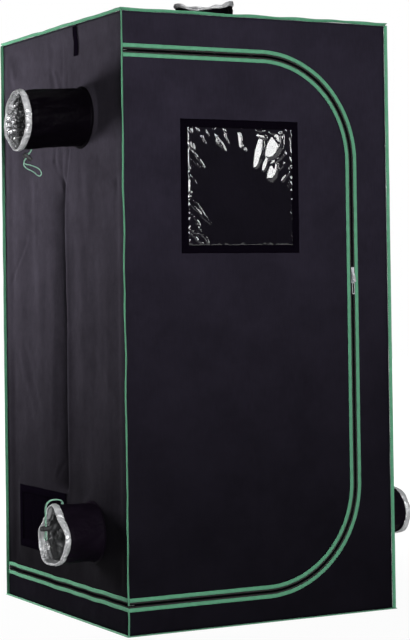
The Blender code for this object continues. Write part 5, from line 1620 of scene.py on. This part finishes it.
class TENT_OT_front(bpy.types.Operator):
    """Hang the front round the door, and the door itself"""

    bl_idname = "tent.front"
    bl_label = "Front and door"
    bl_options = {"REGISTER", "UNDO"}

    def execute(self, context):
        sizes = context.scene.tent_sizes
        shape = front_shape(sizes)
        looks = ["wall_cloth", "silver_film"]
        seam = ZIP_HALF_WIDTH + GAP
        outline = door_outline(seam, sizes.zip_radius)
        outline += rectangle(-INNER_X, INNER_X, WALL_FOOT, WALL_TOP)
        sew_sheet("front_cloth", "tent", "front_fascia", front_place, shape, outline, [], looks,
                  cell=0.010)
        hole = rectangle(PANE_LOW.x - GAP, PANE_HIGH.x + GAP, PANE_LOW.z - GAP, PANE_HIGH.z + GAP)
        sew_sheet("door_cloth", HINGED, "door_panel", front_place, shape,
                  door_outline(-seam, sizes.zip_radius), [hole], looks, cell=0.0095)
        return {"FINISHED"}


class TENT_OT_window(bpy.types.Operator):
    """Sew in the window's film, its border and the cover behind it"""

    bl_idname = "tent.window"
    bl_label = "Window"
    bl_options = {"REGISTER", "UNDO"}

    def execute(self, context):
        outline = rectangle(PANE_LOW.x, PANE_HIGH.x, PANE_LOW.z, PANE_HIGH.z)
        sew_sheet("window_film", "door", "window_pane", front_place, film_shape, outline, [],
                  ["clear_film"], thickness=FILM_THICKNESS, cell=0.0019)
        sew_border("window_webbing", "door", "window_border", front_place, WINDOW_LOW.x,
                   WINDOW_HIGH.x, WINDOW_LOW.z, WINDOW_HIGH.z)
        low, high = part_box("window_flap")
        depth = -HALF_DEPTH - low.y
        sew_sheet("window_cover", "window_flap", "window_flap", front_place, lambda u, v: depth,
                  rectangle(low.x, high.x, low.z, high.z), [], ["wall_cloth", "silver_film"])
        return {"FINISHED"}


class TENT_OT_zip(bpy.types.Operator):
    """Make the tapes and coils of the D-shaped zip and of the zip below the left wall"""

    bl_idname = "tent.zip"
    bl_label = "Zips"
    bl_options = {"REGISTER", "UNDO"}

    def execute(self, context):
        sizes = context.scene.tent_sizes
        shape = front_shape(sizes)
        half_tooth = sizes.tooth / 2
        lap_y = -HALF_DEPTH + CORNER_LAP
        wall_y = -HALF_DEPTH + EDGE_THICKNESS
        coarse = front_stations(sizes.zip_radius, TAPE_STEP, shape)
        fine = front_stations(sizes.zip_radius, half_tooth, shape)
        around = corner_stations()
        rows = (
            ("frame_zip", coarse[:-1] + around + left_stations(COARSE_STEP, lap_y, no_lift),
             fine[:-1] + around + left_stations(half_tooth, lap_y, no_lift), 1,
             "zip_frame_half", "tent", 0),
            ("door_zip", coarse, fine, -1, "zip_door_half", HINGED, 1),
            ("wall_zip", left_stations(COARSE_STEP, wall_y, no_lift),
             left_stations(half_tooth, wall_y, no_lift), -1, "zip_frame_half", "tent", 1),
        )
        for name, tape_run, coil_run, side, node, body, small in rows:
            sew_tape(name + "_tape", body, node, "zip_tape", tape_run,
                     zip_tape_profile(side), WEBBING_CREASE)
            sew_tape(name + "_coil", body, node, "zip_coil", coil_run,
                     coil_profile(side), small=small)
        return {"FINISHED"}


class TENT_OT_bindings(bpy.types.Operator):
    """Sew the green bindings beside the zips and on every edge of the tent"""

    bl_idname = "tent.bindings"
    bl_label = "Green bindings"
    bl_options = {"REGISTER", "UNDO"}

    def execute(self, context):
        sizes = context.scene.tent_sizes
        shape = front_shape(sizes)
        front = front_stations(sizes.zip_radius, FINE_STEP,
                               lambda u, v: shape(u, v) + soft_lift(u, v))
        round_wall = left_stations(TAPE_STEP, -HALF_DEPTH + CORNER_LAP, soft_lift)
        wall = left_stations(TAPE_STEP, -HALF_DEPTH + EDGE_THICKNESS / 2 + GAP, soft_lift)
        round_run = front[:-1] + corner_stations() + round_wall
        rows = (
            ("frame_binding", "tent", beside(round_run, ZIP_HALF_WIDTH)),
            ("door_binding", HINGED, beside(front, -ZIP_HALF_WIDTH)),
            ("left_wall_binding", "tent", beside(wall, -ZIP_HALF_WIDTH)),
        )
        for node, body, run in rows:
            sew_tape(node + "_tape", body, node, "flat_tape", run,
                     binding_profile(sizes.binding), BINDING_CREASE)
        self.make_edges()
        return {"FINISHED"}

    def make_edges(self):
        """Folded tape along every outer edge."""
        profile = edge_profile(EDGE_OUT, EDGE_THICKNESS)
        upper, lower, corner = ("seam_binding_upper", "seam_binding_lower",
                                "corner_binding_front_left")
        foot = EDGE_THICKNESS + GAP
        stub_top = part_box("left_skirt")[1].z - 0.004
        corner_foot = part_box(corner)[0].z
        corner_top = HEIGHT - 0.0015
        rows = (
            ("roof_edge_tape", upper, edge_ring(HEIGHT, math.radians(45), 71.0), True),
            ("floor_edge_tape", lower, edge_ring(EDGE_THICKNESS / 2, 0, 0), True),
            ("corner_tape_back_left", upper, leg_stations(-1, 1, foot, HEIGHT), False),
            ("corner_tape_back_right", upper, leg_stations(1, 1, foot, HEIGHT), False),
            ("corner_tape_front_right", upper, leg_stations(1, -1, foot, HEIGHT), False),
            ("corner_tape_front_left_foot", lower, leg_stations(-1, -1, foot, stub_top), False),
            ("corner_tape_front_left", corner,
             leg_stations(-1, -1, corner_foot, corner_top), False),
        )
        for name, node, stations, closed in rows:
            sew_tape(name, "tent", node, "edge_tape", stations, profile,
                     EDGE_CREASE, closed)


class TENT_OT_sleeves(bpy.types.Operator):
    """Make the duct sleeves: gathered cloth, crumpled silver cuff and lining"""

    bl_idname = "tent.sleeves"
    bl_label = "Duct sleeves"
    bl_options = {"REGISTER", "UNDO"}

    def execute(self, context):
        for number, (label, sleeve) in enumerate(SLEEVES.items()):
            seed = 100.0 + number * 7
            self.sew("cloth", label, *self.cloth(sleeve, seed), "sleeve_fabric", "sleeve_cloth",
                     sleeve["length"], thickness=0.0008, sides=96)
            self.sew("cuff", label, *self.cuff(sleeve, seed), "foil_lining", "satin_silver",
                     CUFF_LENGTH + CUFF_LIP, thickness=0.0004, sides=144)
            self.sew("lining", label, *self.lining(sleeve, seed), "foil_lining", sleeve["lining"],
                     sleeve["length"], thickness=0.0002, sides=176)
        return {"FINISHED"}

    def sew(self, part, label, stages, offsets, slot, look, length, thickness, sides):
        """Makes one layer of a sleeve and seats it."""
        piece = ring_piece("sleeve_%s_%s" % (part, label), SLEEVES[label], stages, offsets,
                           finish(look), thickness, sides)
        seat(piece, "tent", "sleeve_" + label)

    def cloth(self, sleeve, seed):
        """Flange, slack tube and gathered neck: stages along it and offsets off the surface."""
        end = neck_share(sleeve) + 0.03
        flange, start = 0.004, 0.012
        stages = [flange, flange, start]
        stages += [start + (end - start) * step / SLEEVE_STEPS
                   for step in range(1, SLEEVE_STEPS + 1)]

        def offsets(index, stage, turn):
            if index == 0:
                return SLEEVE_FLANGE, 0.0
            if index == 1:
                return SLEEVE_FLANGE * 0.35, 0.0004
            return sleeve_slack(sleeve, seed, stage, turn) + 0.0004, 0.0

        return stages, offsets

    def cuff(self, sleeve, seed):
        """Silver cuff turned over the mouth, with a lip inside it."""
        neck = neck_share(sleeve)
        outer = [neck + (1 - neck) * step / CUFF_STEPS for step in range(CUFF_STEPS + 1)]
        lip = [1 - CUFF_LIP * step / LIP_STEPS / sleeve["length"] for step in range(LIP_STEPS + 1)]

        def offsets(index, stage, turn):
            crush, crumple, tiny = crumples(sleeve, seed, stage, turn)
            rim = rim_wave(sleeve, seed, stage, turn)
            if index >= len(outer):
                return -0.0016 - 0.0006 * (1 + crumple), rim
            hem = 0.0016 if index else 0.0003
            puff = 0.0022 * math.sin(math.pi * (stage - neck) / (1 - neck))
            return hem + puff + crush * 0.0010 + crumple * 0.0007 + tiny * 0.0003, rim

        return outer + lip, offsets

    def lining(self, sleeve, seed):
        """Crinkled silver lining from inside the cuff to the wall."""
        neck = neck_share(sleeve)
        folded = sleeve["folded"]
        mouth = 1 - 0.0022 / sleeve["length"]
        stages = [mouth * (1 - (step / LINING_STEPS) ** 1.2) for step in range(LINING_STEPS + 1)]

        def offsets(index, stage, turn):
            crush, crumple, tiny = crumples(sleeve, seed, stage, turn)
            slack = smooth((mouth - stage) * sleeve["length"] / 0.012)
            slack *= smooth((stage - 0.02) / 0.10)
            inwards = (1 + crush) * 0.0045
            inwards += ((1 + crumple) * 0.0026 + (1 + tiny) * 0.0012) * folded
            cloth = sleeve_slack(sleeve, seed, stage, turn) * smooth((neck - stage) / 0.05)
            return cloth - 0.0011 - inwards * slack, rim_wave(sleeve, seed, stage, turn)

        return stages, offsets


class TENT_OT_vent(bpy.types.Operator):
    """Sew in the insect net, its border and the flap behind it"""

    bl_idname = "tent.vent"
    bl_label = "Vent"
    bl_options = {"REGISTER", "UNDO"}

    def execute(self, context):
        self.make_net(context.scene.tent_sizes.net)
        sew_border("vent_webbing", "tent", "vent_border", left_place, VENT_LOW.y, VENT_HIGH.y,
                   VENT_LOW.z, VENT_HIGH.z)
        low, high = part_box("vent_flap")
        depth = -HALF_WIDTH - low.x
        sew_sheet("vent_cover", "vent_flap", "vent_flap", left_place, lambda u, v: depth,
                  rectangle(low.y, high.y, low.z, high.z), [], ["sleeve_cloth", "silver_film"])
        return {"FINISHED"}

    def make_net(self, pitch):
        """Crossing threads of the net, each a flat ribbon of its own."""
        points = []
        faces = []
        flat = []
        half = pitch * THREAD_SHARE
        middle = (NET_LOW.x + NET_HIGH.x) / 2
        sides = ((0, 1, 2, 3), (4, 7, 6, 5), (0, 4, 5, 1), (1, 5, 6, 2), (2, 6, 7, 3), (3, 7, 4, 0))

        def thread(low_u, high_u, low_v, high_v, depth):
            start = len(points)
            for x in (middle - depth, middle - depth - THREAD_THICKNESS):
                for u, v in rectangle(low_u, high_u, low_v, high_v):
                    points.append((x, u, v))
                    flat.append((u, v))
            faces.extend(tuple(start + index for index in side) for side in sides)

        wide = NET_HIGH.y - NET_LOW.y
        tall = NET_HIGH.z - NET_LOW.z
        columns = math.ceil(wide / pitch)
        for index in range(1, columns):
            u = NET_LOW.y + wide * (index / columns)
            thread(u - half, u + half, NET_LOW.z, NET_HIGH.z, 0.0)
        rows = math.ceil(tall / pitch)
        for index in range(1, rows):
            v = NET_LOW.z + tall * (index / rows)
            thread(NET_LOW.y, NET_HIGH.y, v - half, v + half, THREAD_THICKNESS)
        net = new_piece("vent_net", points, faces, flat, [finish("net_thread")], False)
        fix_normals(net)
        seat(net, "tent", "vent_mesh")


class TENT_OT_tray(bpy.types.Operator):
    """Fold up the floor tray"""

    bl_idname = "tent.tray"
    bl_label = "Floor tray"
    bl_options = {"REGISTER", "UNDO"}

    def execute(self, context):
        low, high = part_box("floor_tray")
        half = high.x - TRAY_THICKNESS
        fold = low.z + TRAY_FOLD
        rings = [self.ring(half * share, TRAY_CORNER * share, low.z)
                 for share in (0.2, 0.4, 0.6, 0.8, 0.94)]
        rings.append(self.ring(half - 0.002, TRAY_CORNER - 0.002, low.z + 0.0003))
        rise = high.z - low.z - TRAY_FOLD
        rings += [self.ring(half, TRAY_CORNER, fold + rise * step / TRAY_RISE_STEPS)
                  for step in range(TRAY_RISE_STEPS + 1)]
        points = []
        flat = []
        for index, ring in enumerate(rings):
            for x, y, z in ring:
                sag = smooth((z - low.z) / 0.03)
                pull = 0.0022 * (1 + ripple(math.atan2(y, x) * 0.4, z, 0.05, 0.05, 131.0)) * sag
                share = 1 - pull / math.hypot(x, y)
                points.append((x * share, y * share, z))
                flat.append((x, y + index * 0.004))
        count = len(rings[0])
        faces = [tuple(range(count))]
        faces += [face[::-1] for face in ring_faces(len(rings), count)]
        looks = [finish("silver_film"), finish("sleeve_cloth")]
        tray = thicken(new_piece("tray_cloth", points, faces, flat, looks), TRAY_THICKNESS, 1)
        seat(tray, "floor_tray", "floor_tray")
        return {"FINISHED"}

    def ring(self, size, corner, height):
        """A square ring with round corners, counter-clockwise from its right side."""
        points = []
        straight = size - corner
        for turn, (side_u, side_v) in enumerate(CORNER_SIDES[2:] + CORNER_SIDES[:2]):
            for step in range(TRAY_CORNER_STEPS + 1):
                angle = math.pi / 2 * (turn + step / TRAY_CORNER_STEPS)
                points.append((straight * side_u + corner * math.cos(angle),
                               straight * side_v + corner * math.sin(angle), height))
            for step in range(1, TRAY_SIDE_STEPS):
                along = straight * (1 - 2 * step / TRAY_SIDE_STEPS)
                if turn % 2 == 0:
                    points.append((side_u * along, size * side_v, height))
                else:
                    points.append((size * side_u, side_v * along, height))
        return points


class TENT_PT_panel(bpy.types.Panel):
    """Sizes, colours and steps of the grow tent"""

    bl_idname = "TENT_PT_panel"
    bl_label = "Grow tent"
    bl_space_type = "VIEW_3D"
    bl_region_type = "UI"
    bl_category = "Grow Tent"

    def draw(self, context):
        for group in (context.scene.tent_sizes, context.scene.tent_colours):
            for name in group.__annotations__:
                self.layout.prop(group, name)
        for step in STEPS:
            self.layout.operator(step.bl_idname)


STEPS = (
    TENT_OT_studio,
    TENT_OT_drawcords,
    TENT_OT_frame,
    TENT_OT_plain_walls,
    TENT_OT_left_wall,
    TENT_OT_front,
    TENT_OT_window,
    TENT_OT_zip,
    TENT_OT_bindings,
    TENT_OT_sleeves,
    TENT_OT_vent,
    TENT_OT_tray,
)
CLASSES = (TentSizes, TentColours, *STEPS, TENT_PT_panel)


def register():
    for each in CLASSES:
        bpy.utils.register_class(each)
    bpy.types.Scene.tent_sizes = PointerProperty(type=TentSizes)
    bpy.types.Scene.tent_colours = PointerProperty(type=TentColours)


def unregister():
    del bpy.types.Scene.tent_colours
    del bpy.types.Scene.tent_sizes
    for each in reversed(CLASSES):
        bpy.utils.unregister_class(each)


def main():
    """Builds the whole tent."""
    register()
    for step in STEPS:
        group, name = step.bl_idname.split(".")
        getattr(getattr(bpy.ops, group), name)()


if __name__ == "__main__":
    main()
